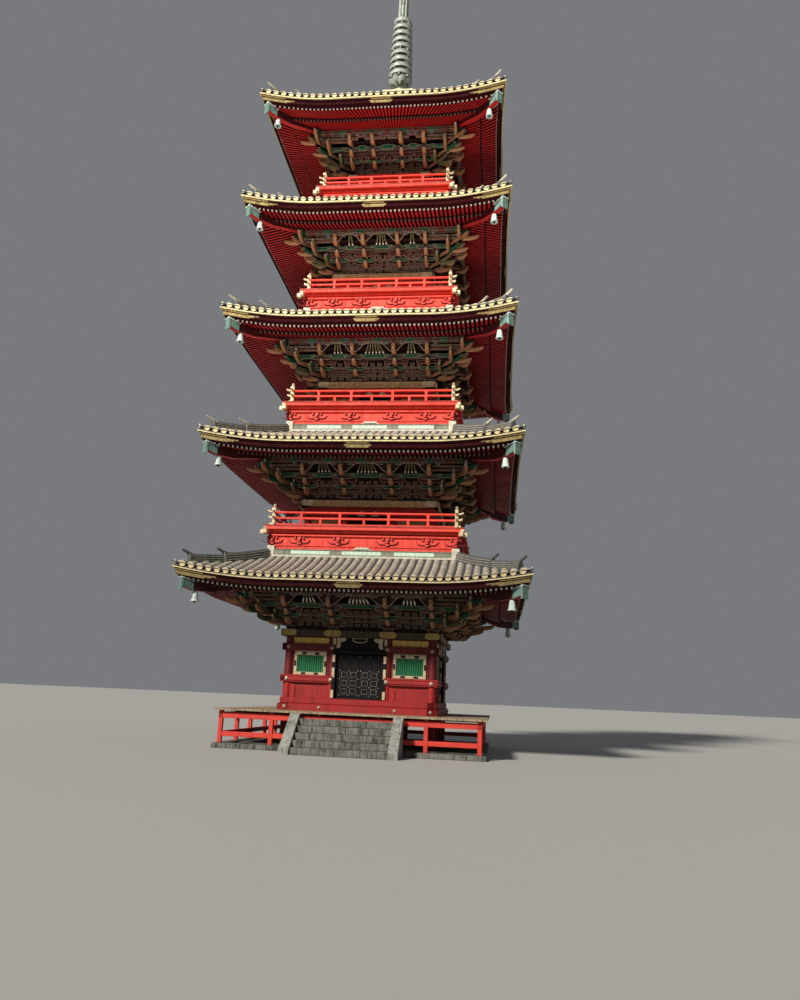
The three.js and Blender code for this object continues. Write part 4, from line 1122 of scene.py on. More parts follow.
def rafters(bm, storey):
    flying_half, base_half = storey.half - FLYING_TIP, storey.half - BASE_TIP
    tip_z, wall = storey.eave - RAFTER_DROP, storey.line - 0.05
    count = int((flying_half - 0.05) / RAFTER_PITCH)
    for i in range(-count, count + 1):
        x = i * RAFTER_PITCH
        root_half = max(base_half - 0.1, abs(x) + 0.05)
        root_x, base_x = x, x
        if storey.top:
            share = i / count
            fan = (1 - FAN_SPREAD) * share + FAN_SPREAD * math.tan(share * math.pi / 4)
            x = fan * (flying_half - 0.05)
            root_half = base_half - 0.1
            root_x, base_x = (x * half / flying_half for half in (root_half, base_half))
        tip = storey.bend(x, -flying_half, tip_z)
        root = storey.bend(root_x, -root_half, tip_z + FLYING_SLOPE * (flying_half - root_half))
        add_rafter(bm, tip, root, RAFTER_DEPTH, END_WHITE)
        if abs(base_x) < base_half - 0.10:
            base_root = wall if storey.top else max(abs(x), wall)
            foot_x = base_x * base_root / base_half if storey.top else base_x
            tip = storey.bend(base_x, -base_half, tip_z)
            root = storey.bend(foot_x, -base_root, storey.soffit(base_root))
            # The lower tier's caps are painted dim, as painted shade
            add_rafter(bm, tip, root, BASE_DEPTH, END_IN_SHADE)


def eave_boards(bm, storey):
    edge = storey.half
    wall, base_half, flying_half = storey.line - 0.05, edge - BASE_TIP, edge - FLYING_TIP
    over_base = [storey.soffit(half) + BASE_DEPTH + BOARD_REST for half in (base_half, wall)]
    add_run(bm, storey, base_half, wall, over_base, [z + BOARD for z in over_base], SHADED_EAVE)
    tip_z = storey.eave - RAFTER_DROP
    root_z = tip_z + FLYING_SLOPE * (flying_half - base_half)
    over_flying = [z + RAFTER_DEPTH + BOARD_REST for z in (tip_z - 0.01, root_z)]
    board_top = [z + BOARD for z in over_flying]
    add_run(bm, storey, flying_half + 0.05, base_half, over_flying, board_top, SHADED_EAVE)
    for outer, inner, low, high in (
        (base_half + 0.06, base_half - 0.06, over_base[0] - 0.005, root_z + 0.002),
        *((edge - front, edge - back, storey.eave + z0, storey.eave + z1) for front, back, z0, z1 in FASCIA),
    ):
        add_run(bm, storey, outer, inner, low, high, MAROON)
    shelf = storey.eave + FASCIA[0][2]
    add_run(bm, storey, edge - FASCIA[0][0] - 0.02, flying_half - 0.06, shelf - 0.004, shelf + 0.05, MAROON)


def fascia_plates(bm, storey):
    """Brass plates on the middle and the corners of the fascia, painted dull as shade. Their lower edges rise
    towards their ends.
    """
    (front, _, low, high), (upper_front, _, _, _) = FASCIA
    centre, corner = CENTRE_PLATE / storey.half, 1 - CORNER_PLATE / storey.half
    rows = [
        (storey.half - front, proud, low + drop, high - 0.004, outer, inner)
        for outer, inner, drop, proud in PLATE_STEPS
    ]
    rows.append((storey.half - upper_front, 0.008, high - 0.006, -0.004, 1.0, 1.0))
    for face, proud, bottom, top, outer, inner in rows:
        bottom, top = storey.eave + bottom, storey.eave + top
        for span in ((-centre * outer, centre * outer), (-1, -corner * inner), (corner * inner, 1)):
            add_run(bm, storey, face + proud, face - 0.02, bottom, top, SHADED_BRASS, span)


def bell_template():
    """A bronze bell, hollow from below, with a lip, bands and a clapper."""
    outside = [(0.128, 0.0), (0.133, 0.012), (0.118, 0.05), (0.108, 0.06), (0.099, 0.17), (0.092, 0.18)]
    outside += [(0.087, 0.25), (0.072, 0.30), (0.040, 0.335), (0.0, 0.34)]
    inside = [(0.0, 0.31), (0.05, 0.295), (0.077, 0.24), (0.092, 0.10), (0.110, 0.0)]
    clapper = [(0.0, -0.05), (0.03, -0.04), (0.035, 0.0), (0.008, 0.03), (0.006, 0.29), (0.0, 0.30)]
    link = [(0.0, 0.335), (0.012, 0.335), (0.012, 0.36), (0.03, 0.39), (0.012, 0.42), (0.0, 0.42)]
    bm = bmesh.new()
    stamp(bm, turned([*inside, *outside], 16, BELL))
    stamp(bm, turned(clapper, 8, MAROON))
    stamp(bm, turned(link, 8, VERDIGRIS))
    return template(bm)


wind_bell = bell_template()


def hip_rafter(bm, storey):
    """The deep rafter under the front right hip, its cap, and the bell."""

    def on_hip(half, z):
        place = storey.bend(half, -half, z)
        return (place.xy.length, place.z)

    nose_half, cap_half, base_half = storey.half - 0.22, storey.half - 0.49, storey.half - BASE_TIP
    root = storey.line + 0.10
    foot, crown = storey.eave - HIP_FOOT, storey.eave - HIP_CROWN
    outline = [
        on_hip(root, storey.soffit(root) - 0.14),
        on_hip(base_half, storey.soffit(base_half) - 0.20),
        on_hip(cap_half, foot + 0.02),
        on_hip(nose_half - 0.02, foot + 0.06),
        on_hip(nose_half - 0.02, crown + 0.05),
        on_hip(cap_half, crown + 0.06),
        on_hip(base_half, storey.soffit(base_half) + 0.06),
        on_hip(root, storey.soffit(root) + 0.06),
    ]
    hip = Matrix.Rotation(-math.pi / 4, 4, "Z")
    # Its sides are painted near black as shade, and its edges bright red
    add_plate(bm, outline, 2 * HIP_HALF - 0.02, hip, (SHADED_EAVE, RAFTER), 0.02, SHADED_EAVE)
    (inner, base_z), (outer, tip_z) = on_hip(cap_half, 0), on_hip(nose_half, 0)
    cap = [
        (inner, base_z + foot + 0.02),
        (outer - 0.09, tip_z + foot + 0.05),
        (outer - 0.03, tip_z + foot - 0.01),
        (outer - 0.03, tip_z + crown + 0.06),
        (inner, base_z + crown + 0.06),
    ]
    lip = [(outer - 0.05, tip_z + foot - 0.045), (outer + 0.005, tip_z + foot - 0.05)]
    lip += [(outer + 0.005, tip_z + crown + 0.10), (outer - 0.05, tip_z + crown + 0.10)]
    roof_plate = [(inner - 0.04, base_z + crown + 0.055), (outer + 0.02, tip_z + crown + 0.085)]
    roof_plate += [(outer + 0.03, tip_z + crown + 0.125), (inner - 0.04, base_z + crown + 0.085)]
    for sheet, extra, paint, rim, rim_paint in (
        (cap, 0.02, VERDIGRIS, 0.03, VERDIGRIS),
        (lip, 0.05, VERDIGRIS, 0.01, BELL),
        (roof_plate, 0.08, BELL, 0.008, BELL),
    ):
        add_plate(bm, sheet, 2 * HIP_HALF + extra, hip, (paint, paint), rim, rim_paint)
    bell_out, lift = on_hip(storey.half - BELL_IN, 0)
    bell_foot = storey.eave - RAFTER_DROP + lift - 0.60
    stamp(bm, wind_bell, hip @ Matrix.Translation((bell_out, 0, bell_foot)))


for storey in storeys:
    bm = bmesh.new()
    rafters(bm, storey)
    eave_boards(bm, storey)
    fascia_plates(bm, storey)
    hip_rafter(bm, storey)
    on_four_sides(bm)
    storey_piece(storey, "rafters", bm, eave_finishes, "eaves")

# Copper roofs.
# Sheet copper is dressed over wood to look like tile: broad rolls lap down the slope, and shallow pans lie
# between them, painted near black as the shade between the rolls. Gilded discs and a thin gilded drip edge
# finish the eave, over a board painted near black as shade. The hips carry two-stage ridges that end in
# upturned horns, dark on the lowest roof and pale copper on the others.
TILE_COLUMN = 0.27
TILE_ROW = 0.29
ROLL_RADIUS = 0.098
ROLL_TAPER = 0.006
ROLL_SIDES = 8
ROLL_FLATNESS = 0.72
ROLL_LAP = 0.02
PAN_DIP = 0.022
PAN_LAP = 0.022
PAN_THICKNESS = 0.02
END_RADIUS = 0.094
END_LEVEL = 0.145
END_SETBACK = 0.032
DRIP_EDGE = (-0.004, 0.034)
DRIP_BOARD_TOP = 0.09
HIP_CAP_RADIUS = 0.07
HIP_COURSES = 3
STAGE_CHANGE = 1.15
LOWER_STAGE_IN = 0.36
HORN_TILT = math.radians(68)
ROLL, RIDGE, PALE_GOLD, PAN_SHADE = range(4)

# Painted shade: near black for the pans between the rolls, the board behind the discs and the slots under the
# box ridges
shaded_pan_copper = finish("shaded_pan_copper", (0.085, 0.08, 0.078), (0.03, 0.03, 0.03), 0.8, 0.3, 0.03)
roof_finishes = [
    finish("weathered_copper", (0.58, 0.54, 0.44), (0.26, 0.25, 0.215), 0.8, 0.35, 0.03, 0.45, 0.25),
    finish("ridge_copper", (0.15, 0.155, 0.15), (0.06, 0.065, 0.065), 0.9, 0.3, 0.03, 0.45, 0.3),
    finish("eave_gilding", (0.66, 0.56, 0.30), (0.34, 0.27, 0.14), 0.7, 0.12, 0.02, 0.45, 0.15, 0.003),
    shaded_pan_copper,
]
end_tile = turned([(0, 0), (1, 0), (1, 0.35), (0.74, 0.28), (0.22, 0.34), (0, 0.4)], 10, PALE_GOLD)
end_tile.transform(Matrix.Rotation(math.pi / 2, 4, "X"))


def add_rod(bm, sides, foot_radius, top_radius, length, place, finish_index=0):
    """A round bar along the z axis of its place, centred on it, that may taper."""
    made = bmesh.ops.create_cone(
        bm, cap_ends=True, segments=sides, radius1=foot_radius, radius2=top_radius, depth=length, matrix=place
    )
    for face in {face for vert in made["verts"] for face in vert.link_faces}:
        face.material_index = finish_index


def roll_run(rows, edge):
    """One line of lapped round tiles up the slope, from the eave at -edge."""
    bm = bmesh.new()
    flatter = Matrix.Diagonal((1, 1, ROLL_FLATNESS, 1)) @ Matrix.Rotation(-math.pi / 2, 4, "X")
    for row in range(rows):
        start = -edge + (row * TILE_ROW or END_SETBACK)
        length = -edge + (row + 1) * TILE_ROW + ROLL_LAP - start
        place = at(0, start + length / 2, 0.0) @ flatter
        add_rod(bm, ROLL_SIDES, ROLL_RADIUS, ROLL_RADIUS - ROLL_TAPER, length, place, ROLL)
    return template(bm)


def pan_row(columns, edge, lower, upper):
    """One row of pans across the slope, which dip between the rolls and lap over the row below."""
    strip = bmesh.new()
    bmesh.ops.create_grid(strip, x_segments=2 * columns, y_segments=1, size=0.5)
    made = bmesh.ops.extrude_face_region(strip, geom=strip.faces[:])["geom"]
    raised = [item for item in made if isinstance(item, bmesh.types.BMVert)]
    bmesh.ops.translate(strip, verts=raised, vec=(0, 0, PAN_THICKNESS))
    for vert in strip.verts:
        dip = PAN_DIP if round((vert.co.x + 0.5) * 2 * columns) % 2 else 0.0
        y, lap = (lower, PAN_LAP) if vert.co.y < 0 else (upper, 0.0)
        vert.co = (vert.co.x * 2 * edge, y, vert.co.z + lap - dip - PAN_THICKNESS)
    # The pans are painted near black, as the shade between the rolls
    for face in strip.faces:
        face.material_index = PAN_SHADE
    bmesh.ops.recalc_face_normals(strip, faces=strip.faces)
    return template(strip)


def tile_slope(storey):
    """The front slope, bounded by its hips, laid flat in plan and then lifted to the roof's curve."""
    edge = storey.half
    rows = math.ceil((edge - storey.roof_top) / TILE_ROW)
    columns = round(2 * edge / TILE_COLUMN)
    pitch = 2 * edge / columns
    bm = bmesh.new()
    for row in range(rows):
        lower = -edge + row * TILE_ROW
        stamp(bm, pan_row(columns, edge, lower, min(lower + TILE_ROW + 0.01, -storey.roof_top + 0.03)))
    roll, flat_disc = roll_run(rows, edge), Matrix.Diagonal((END_RADIUS, 0.05, 0.9 * END_RADIUS, 1))
    for i in range(columns + 1):
        stamp(bm, roll, at(-edge + i * pitch, 0, 0))
    clip_to_front(bm)
    for vert in bm.verts:
        vert.co = storey.bend(vert.co.x, vert.co.y, storey.roof(-vert.co.y) + vert.co.z)
    for i in range(1, columns):
        x = (-edge + i * pitch) * (1 - END_SETBACK / edge)
        place = storey.bend(x, -edge + END_SETBACK, storey.eave + END_LEVEL)
        stamp(bm, end_tile, Matrix.Translation(place) @ flat_disc)
    low, high, top = (storey.eave + z for z in (*DRIP_EDGE, DRIP_BOARD_TOP))
    add_run(bm, storey, edge - 0.004, edge - 0.06, low, high, PALE_GOLD)
    # A board behind the discs, painted near black as shade
    add_run(bm, storey, edge - 0.04, edge - 0.10, high, top, PAN_SHADE)
    return bm


def hip_stage(bm, storey, start, end, height, half_width, cuts):
    """One stage of the front right hip ridge: flat courses under a round cap, and an upturned end."""

    def laid_on_hip(part):
        for i in range(1, cuts):
            divide(part, (i / cuts, 0, 0))
        for vert in part.verts:
            run, aside, z = vert.co
            half = start + (end - start) * run
            place = storey.bend(half, -half, storey.roof(half))
            vert.co = place + Vector((aside, aside, 0)) / math.sqrt(2) + Vector((0, 0, z))
        stamp(bm, template(part))

    for course in range(HIP_COURSES):
        low, high, top = (height * (course + share) / HIP_COURSES for share in (0.0, 0.82, 1.0))
        wide = half_width * (1 - 0.12 * course)
        bottom = low if course else -0.06
        for half, foot, crown, paint in ((wide, bottom, high, RIDGE), (wide + 0.02, high, top, ROLL)):
            part = bmesh.new()
            add_block(part, (0, -half, foot), (1, half, crown), paint)
            laid_on_hip(part)
    lying = Matrix.Translation((0.5, 0, height + 0.01)) @ Matrix.Rotation(math.pi / 2, 4, "Y")
    cap = bmesh.new()
    add_rod(cap, 10, HIP_CAP_RADIUS, HIP_CAP_RADIUS, 1, lying, RIDGE)
    laid_on_hip(cap)
    foot = storey.bend(end, -end, storey.roof(end))
    hip = Matrix.Translation(foot) @ Matrix.Rotation(-math.pi / 4, 4, "Z")
    side = [(half_width + 0.05, -0.04), (half_width + 0.03, height * 0.6)]
    side += [(half_width * 0.6, height + 0.06), (0, height + 0.13)]
    across = hip @ Matrix.Rotation(math.pi / 2, 4, "Z")
    add_plate(bm, symmetric(side), 0.06, across, (RIDGE, RIDGE), 0.02, ROLL)
    slope = Matrix.Translation((0.06, 0, height + 0.10)) @ Matrix.Rotation(HORN_TILT, 4, "Y")
    add_rod(bm, 8, 0.070, 0.038, 0.44, hip @ slope, RIDGE if storey.number == 1 else ROLL)


for storey in storeys:
    bm = tile_slope(storey)
    change = storey.half - STAGE_CHANGE
    start = 0.60 if storey.top else storey.roof_top - 0.04
    hip_stage(bm, storey, start, change, 0.25, 0.13, 12)
    hip_stage(bm, storey, change - 0.05, storey.half - LOWER_STAGE_IN, 0.19, 0.11, 10)
    if storey.top:
        seat, reach = storey.roof(TOP_SEAT), TOP_SEAT + 0.03
        add_block(bm, (-reach, -reach, seat - 0.2), (reach, -0.4, seat + 0.085), RIDGE, 0.02)
    on_four_sides(bm)
    storey_piece(storey, "tiles", bm, roof_finishes, "roof", 50)

# Box ridges.
# Where a roof meets the balcony above, a box of green copper sheet on boards closes the joint. It has pale
# panels between its mouldings, a raised block in the middle and a block on each corner. Slots painted near
# black, as the shadow under it, show between the rolls of the roof.
RIDGE_INNER = 1.0103
RIDGE_FOOT = 0.94
RIDGE_TOP = 1.35
MOULDINGS = ((1.085, 1.15, 0.0), (1.15, 1.175, -0.012), (1.31, 1.325, -0.012), (1.325, RIDGE_TOP, 0.0))
PANEL_PLACES = (-0.54, 0.0, 0.54)
PANEL_SHARE = 0.205
PANEL_RIBS = 9
RIDGE_CORNER = 0.13
BOX_GREEN, BOX_PANEL, BOX_CREAM, SLOT_SHADE = range(4)

ridge_finishes = [
    finish("ridge_green", (0.27, 0.275, 0.215), (0.12, 0.13, 0.11), 0.85, 0.25, 0.03, 0.55),
    finish("pale_panel_green", (0.66, 0.82, 0.68), (0.36, 0.50, 0.40), 0.6, 0.15, 0.02, 0.5),
    finish("pale_ridge_metal", (0.66, 0.64, 0.50), (0.34, 0.33, 0.26), 0.7, 0.15, 0.02, 0.5),
    shaded_pan_copper,
]

for storey in storeys[1:]:
    roof_edge = storeys[storey.number - 2].half
    inner, outer, base = storey.line + RIDGE_INNER, storey.line + BOX_RIDGE_OUT, storey.base
    bm = bmesh.new()
    face = outer - 0.025
    add_block(bm, (-face, -face, base + RIDGE_FOOT), (face, -inner, base + RIDGE_TOP - 0.005), BOX_GREEN)
    for low, high, out in MOULDINGS:
        edge, paint = outer + out, BOX_CREAM if low == MOULDINGS[0][0] else BOX_GREEN
        add_block(bm, (-edge, -edge, base + low), (edge, -inner, base + high), paint, 0.006)
    # Painted shadow: near black slots under the box, between the rolls
    for left, end in split(-roof_edge, roof_edge, round(2 * roof_edge / TILE_COLUMN), 0.15):
        if abs(left + end) / 2 < outer - 0.1:
            add_block(bm, (left, -outer - 0.01, base + 1.02), (end, -outer + 0.02, base + 1.085), SLOT_SHADE)
    half = PANEL_SHARE * outer
    for place in PANEL_PLACES:
        x = place * outer
        corner = (x - half, -outer + 0.010, base + 1.175)
        add_block(bm, corner, (x + half, -inner, base + 1.305), BOX_PANEL, 0.008)
        for left, end in split(x - half, x + half, PANEL_RIBS, 0.25):
            corner = (left, -outer + 0.002, base + 1.19)
            add_block(bm, corner, (end, -outer + 0.02, base + 1.29), BOX_PANEL, 0.004)
    for half, top in ((0.24, 0.10), (0.31, 0.04)):
        corner = (-half, -outer + 0.01, base + RIDGE_TOP)
        add_block(bm, corner, (half, -inner, base + RIDGE_TOP + top), BOX_CREAM, 0.01)
    corner = (outer - 2 * RIDGE_CORNER, -outer - 0.002, base + 1.04)
    opposite = (outer + 0.002, -outer + 2 * RIDGE_CORNER, base + RIDGE_TOP + 0.12)
    add_block(bm, corner, opposite, BOX_CREAM, 0.015)
    on_four_sides(bm)
    storey_piece(storey, "box_ridge", bm, ridge_finishes)

# Balconies.
# Upright red boards close the base. Small T-shaped brackets in a dark outline stand on them under a thin
# beam. Above it come a dark line, painted as the shadow under the board, and a board, then the deck's edge.
# The deck's underside is painted dark as shade. Long beams run out past the corners in gilded caps.
PANEL_OUT = 1.01
FINE_LINE = 0.014
PANEL_DEPTH = 0.11
PANEL_FOOT = 0.90
PANEL_PITCH = 0.3
DECK = (2.00, 2.16)
DECK_EDGE = 0.10
DECK_OUT = 1.24
DECK_IN = 0.15
THIN_BEAM = (1.80, 1.86)
FOOT_RAIL = (1.46, 1.50)
CORNER_BEAM = (1.08, 1.20, 1.35, 1.85)
END_CAP = 0.16
DECK_BOARD = 0.24
BEAM_RED, OUTLINE_AND_SHADOW_RED, BEAM_CAP, DECK_RED = range(4)

balcony_finishes = [
    vermilion,
    # The dark red of the brackets' outlines, also used as painted shadow under the board and the deck
    finish("outline_and_shadow_paint", (0.17, 0.007, 0.010), (0.08, 0.005, 0.006), 0.5, 0.3, 0.03),
    cream_gold,
    finish("deck_paint", (0.40, 0.030, 0.020), (0.14, 0.02, 0.014), 0.6, 0.5, 0.03, 0.55),
]


def small_bracket():
    """A cup, a short arm with upturned ends and three bearing blocks, seen from the front."""
    bm = bmesh.new()
    paints, outlined = (BEAM_RED, OUTLINE_AND_SHADOW_RED), (OUTLINE_AND_SHADOW_RED, OUTLINE_AND_SHADOW_RED)
    cup = [(0.05, 0.01), (0.085, 0.06), (0.085, 0.10)]
    add_plate(bm, symmetric(cup), 0.08, at(0, -0.03, 0), paints, FINE_LINE, OUTLINE_AND_SHADOW_RED)
    arm = [(0.05, 0.05), (0.25, 0.06), (0.33, 0.095), (0.375, 0.18)]
    arm += [(0.357, 0.18), (0.315, 0.115), (0.24, 0.08)]
    add_plate(bm, symmetric(arm), 0.04, at(0, -0.02, 0), outlined)
    for x, half in ((-0.15, 0.034), (0, 0.075), (0.15, 0.034)):
        block = [(0.7 * half, 0.20), (half, 0.225), (half, 0.29)]
        add_plate(bm, symmetric(block), 0.06, at(x, -0.02, 0), paints, FINE_LINE, OUTLINE_AND_SHADOW_RED)
    stem = [(0.04, 0.10), (0.04, 0.20)]
    add_plate(bm, symmetric(stem), 0.12, at(0, -0.05, 0), paints, 0.012, OUTLINE_AND_SHADOW_RED)
    return template(bm)


bracket_shape = small_bracket()
for storey in storeys[1:]:
    line, inner, base = storey.line, storey.inner, storey.base
    panel, deck_out = line + PANEL_OUT, line + DECK_OUT
    deck_foot, deck_top = (base + z for z in DECK)
    foot, beam_top = base + PANEL_FOOT, base + THIN_BEAM[1]
    bm = bmesh.new()
    corner = (-panel + 0.02, -panel + 0.015, foot)
    add_block(bm, corner, (panel - 0.02, -panel + PANEL_DEPTH, deck_foot), BEAM_RED)
    for left, end in split(-panel, panel, round(2 * panel / PANEL_PITCH), 0.01):
        add_block(bm, (left, -panel, foot), (end, -panel + 0.02, beam_top), BEAM_RED, 0.004)
    for out, low, high in (
        (0.07, base + THIN_BEAM[0], beam_top),
        (0.03, base + FOOT_RAIL[0], base + FOOT_RAIL[1]),
        (0.10, beam_top + 0.055, deck_foot),
    ):
        add_block(bm, (-panel - out, -panel - out, low), (panel + out, -panel + 0.01, high), BEAM_RED, 0.008)
    # Painted shadow: a dark board behind the beam shows as a dark line under the board above
    add_block(bm, (-panel, -panel - 0.004, beam_top), (panel, -panel + 0.02, deck_foot), OUTLINE_AND_SHADOW_RED)
    for x in (-0.98 * panel, -line, -inner, inner, line, 0.98 * panel):
        stamp(bm, bracket_shape, at(x, -panel, base + FOOT_RAIL[1]))
    inner_face, outer_face, reach, beam_foot = CORNER_BEAM
    cap_start = line + reach - END_CAP
    for side in (-1, 1):
        for near, far, proud, paint, bevel in (
            (panel + 0.02, cap_start, 0.0, BEAM_RED, 0.01),
            (cap_start, cap_start + END_CAP, 0.012, BEAM_CAP, 0.02),
        ):
            corner = (side * near, -line - outer_face - proud, base + beam_foot - proud)
            add_block(bm, corner, (side * far, -line - inner_face + proud, deck_foot), paint, bevel)
        corner = (side * (deck_out - 0.13), -deck_out - 0.004, deck_foot + 0.01)
        opposite = (side * (deck_out + 0.004), -deck_out + 0.13, deck_foot + DECK_EDGE + 0.005)
        add_block(bm, corner, opposite, BEAM_CAP, 0.01)
    boards_foot = deck_foot + DECK_EDGE
    corner = (-deck_out, -deck_out, deck_foot)
    add_block(bm, corner, (deck_out, -deck_out + 0.12, boards_foot), BEAM_RED, 0.01)
    stamp(bm, template(mitred_boards(deck_out, DECK_BOARD, -line + DECK_IN, boards_foot, deck_top, DECK_RED)))
    # The deck's underside is painted dark, as painted shade
    corner = (-deck_out + 0.1, -deck_out + 0.1, deck_foot + 0.02)
    add_block(bm, corner, (deck_out - 0.1, -line, boards_foot - 0.01), OUTLINE_AND_SHADOW_RED)
    on_four_sides(bm)
    storey_piece(storey, "balcony_timber", bm, balcony_finishes, "balcony")

# Railings of the balconies.
# A square ground rail, a flat middle rail and a round top rail, let through short square posts. The rails
# cross at gilded corner posts with jewels, and their ends sweep up in gilded tips.
RAILING_OUT = 0.96
RAIL_HALF = 0.04
MIDDLE_RAIL = (0.25, 0.31)
TOP_RAIL = 0.480
TOP_RAIL_RADIUS = 0.042
RAIL_OVERSHOOT = 0.23
RAIL_FLARE = 0.06
POST_TOP = 0.64
TIP_SHARE = 0.30
SEATED = 0.0003
CORNER_POST = ((0.055, 0.0, 0.60), (0.066, 0.60, POST_TOP), (0.066, 0.225, 0.335), (0.066, 0.0, 0.11))
RAIL_RED, RAIL_GILT = range(2)


def swept_rail(bm, line, height, part):
    """A rail that runs past the corners and sweeps up at its ends, whose tips are gilded."""
    for share in (0.0, 0.3, 0.5, 0.75):
        for side in (-1, 1):
            divide(part, (side * (line + share * RAIL_OVERSHOOT), 0, 0))
    for vert in part.verts:
        past = max(0.0, (abs(vert.co.x) - line) / RAIL_OVERSHOOT)
        vert.co.z += RAIL_FLARE * past**1.5
    for face in part.faces:
        tip = abs(face.calc_center_median().x) > line + TIP_SHARE * RAIL_OVERSHOOT
        face.material_index = RAIL_GILT if tip else RAIL_RED
    stamp(bm, template(part), at(0, -line, height))


jewel_profile = [(0, 0), (0.050, 0), (0.056, 0.02), (0.030, 0.035), (0.056, 0.07), (0.058, 0.09)]
jewel = turned([*jewel_profile, (0.03, 0.13), (0, 0.149)], 16, RAIL_GILT)
for storey in storeys[1:]:
    line, foot = storey.line + RAILING_OUT, storey.base + DECK[1] + SEATED
    reach, posts = line + RAIL_OVERSHOOT, (storey.line + storey.inner) / 2
    bm = bmesh.new()
    corner = (-line - 0.10, -line - RAIL_HALF, foot)
    add_block(bm, corner, (line + 0.10, -line + RAIL_HALF, foot + 0.09), RAIL_RED, 0.008)
    for side in (-1, 1):
        corner = (side * (line + 0.06), -line - RAIL_HALF - 0.012, foot)
        opposite = (side * (line + 0.15), -line + RAIL_HALF + 0.012, foot + 0.105)
        add_block(bm, corner, opposite, RAIL_GILT, 0.01)
    flat = bmesh.new()
    add_block(flat, (-reach + 0.03, -0.038, -0.036), (reach - 0.03, 0.038, 0.036), RAIL_RED, 0.010)
    swept_rail(bm, line, foot + sum(MIDDLE_RAIL) / 2, flat)
    round_rail = bmesh.new()
    lying = Matrix.Rotation(math.pi / 2, 4, "Y")
    add_rod(round_rail, 12, TOP_RAIL_RADIUS, TOP_RAIL_RADIUS, 2 * reach, lying)
    swept_rail(bm, line, foot + TOP_RAIL, round_rail)
    for places, sizes in (
        (
            (-storey.line, -storey.inner, storey.inner, storey.line),
            (
                (0.044, 0.040, 0.09, TOP_RAIL - 0.02),
                (0.062, 0.046, TOP_RAIL - 0.075, TOP_RAIL - 0.02),
                (0.056, 0.046, 0.085, 0.125),
            ),
        ),
        ((-posts, 0, posts), ((0.042, 0.036, 0.09, MIDDLE_RAIL[0]),)),
    ):
        for x in places:
            for wide, deep, low, high in sizes:
                corner = (x - wide, -line - deep, foot + low)
                add_block(bm, corner, (x + wide, -line + deep, foot + high), RAIL_RED, 0.006)
    for half, low, high in CORNER_POST:
        corner = (line - half, -line - half, foot + low)
        add_block(bm, corner, (line + half, -line + half, foot + high), RAIL_GILT, 0.008)
    stamp(bm, jewel, at(line, -line, foot + POST_TOP))
    on_four_sides(bm)
    storey_piece(storey, "rails", bm, [vermilion, cream_gold], "railing", 40)

# Walls of the upper storeys.
# Round columns with red boards between them. Storeys 2 and 3 have ochre panels low down in the side bays and
# a dark doorway under gilded fittings, and their red is painted darker as shade under the eaves. The top two
# are bright red all over, as painted sunlight. The wall plate above carries the bracket sets, and gilding
# covers its ends.
UPPER_RADIUS = 0.134
PLATE_HEIGHT = 0.23
BAY_BOARDS = 5
LAST_SHADED_WALL = 3
WALL_RED, UPPER_PLATE, _, DOORWAY, OCHRE = range(5)

upper_plate = finish("ochre_plate_paint", (0.55, 0.39, 0.19), (0.24, 0.16, 0.08), 0.7, 0.12, 0.02, 0.55)
ochre_board = finish("ochre_board_paint", (0.42, 0.30, 0.13), (0.20, 0.13, 0.06), 0.6, 0.25)
# Painted shade: a darker copy of the vermilion for the walls of storeys 2 and 3, under the eaves
shaded_wall_red = finish("shaded_wall_paint", (0.46, 0.016, 0.016), (0.18, 0.008, 0.010), *PAINT_WEAR)
door_arch = symmetric([(0.13, 0), (0.13, 0.10), (0.08, 0.15), (0.05, 0.15), (0.03, 0.18)])

for storey in storeys[1:]:
    line, inner = storey.line, storey.inner
    foot, top = storey.base + DECK[1] + SEATED, storey.plate - PLATE_HEIGHT
    bm = bmesh.new()
    for x in (-line, -inner, inner):
        add_column(bm, x, -line, UPPER_RADIUS, foot, top, red_post)
    add_block(bm, (-line, -line - 0.035, foot), (line, -line + WALL_HALF, top), WALL_RED)
    for left, end in ((-line, -inner), (inner, line)):
        for x0, x1 in split(left, end, BAY_BOARDS, 0.02):
            add_block(bm, (x0, -line - WALL_HALF, foot), (x1, -line, top), WALL_RED, 0.004)
        corner = (left + UPPER_RADIUS + 0.05, -line - 0.075, foot + 0.15)
        add_block(bm, corner, (end - UPPER_RADIUS - 0.05, -line, foot + 0.52), OCHRE, 0.01)
    for low, high in ((foot, foot + 0.13), (top - 0.20, top - 0.06)):
        add_block(bm, (-line - 0.05, -line - 0.16, low), (line + 0.05, -line, high), WALL_RED, 0.01)
    door = inner - UPPER_RADIUS
    add_block(bm, (-door, -line - 0.075, foot + 0.13), (door, -line, top - 0.06), DOORWAY)
    for x in (-0.24, 0.24):
        add_plate(bm, door_arch, 0.02, at(x, -line - 0.17, top - 0.32), (GILT, GILT), 0.025, GILT)
    outer = line + PLATE_OUT
    add_block(bm, (-outer, -outer, top), (outer, -line + PLATE_IN, storey.plate), UPPER_PLATE, 0.012)
    for x in (-line, line):
        add_head_plate(bm, x, -outer - 0.002, top + 0.01, storey.plate - 0.006, 0.20)
    on_four_sides(bm)
    finishes = [shaded_wall_red, upper_plate, cream_gold, lacquer, ochre_board]
    # The top storeys take the bright vermilion all over, as painted sunlight
    if storey.number > LAST_SHADED_WALL:
        finishes = [vermilion, vermilion if storey.top else upper_plate, cream_gold, vermilion, vermilion]
    storey_piece(storey, "columns", bm, finishes, "wall", 30)

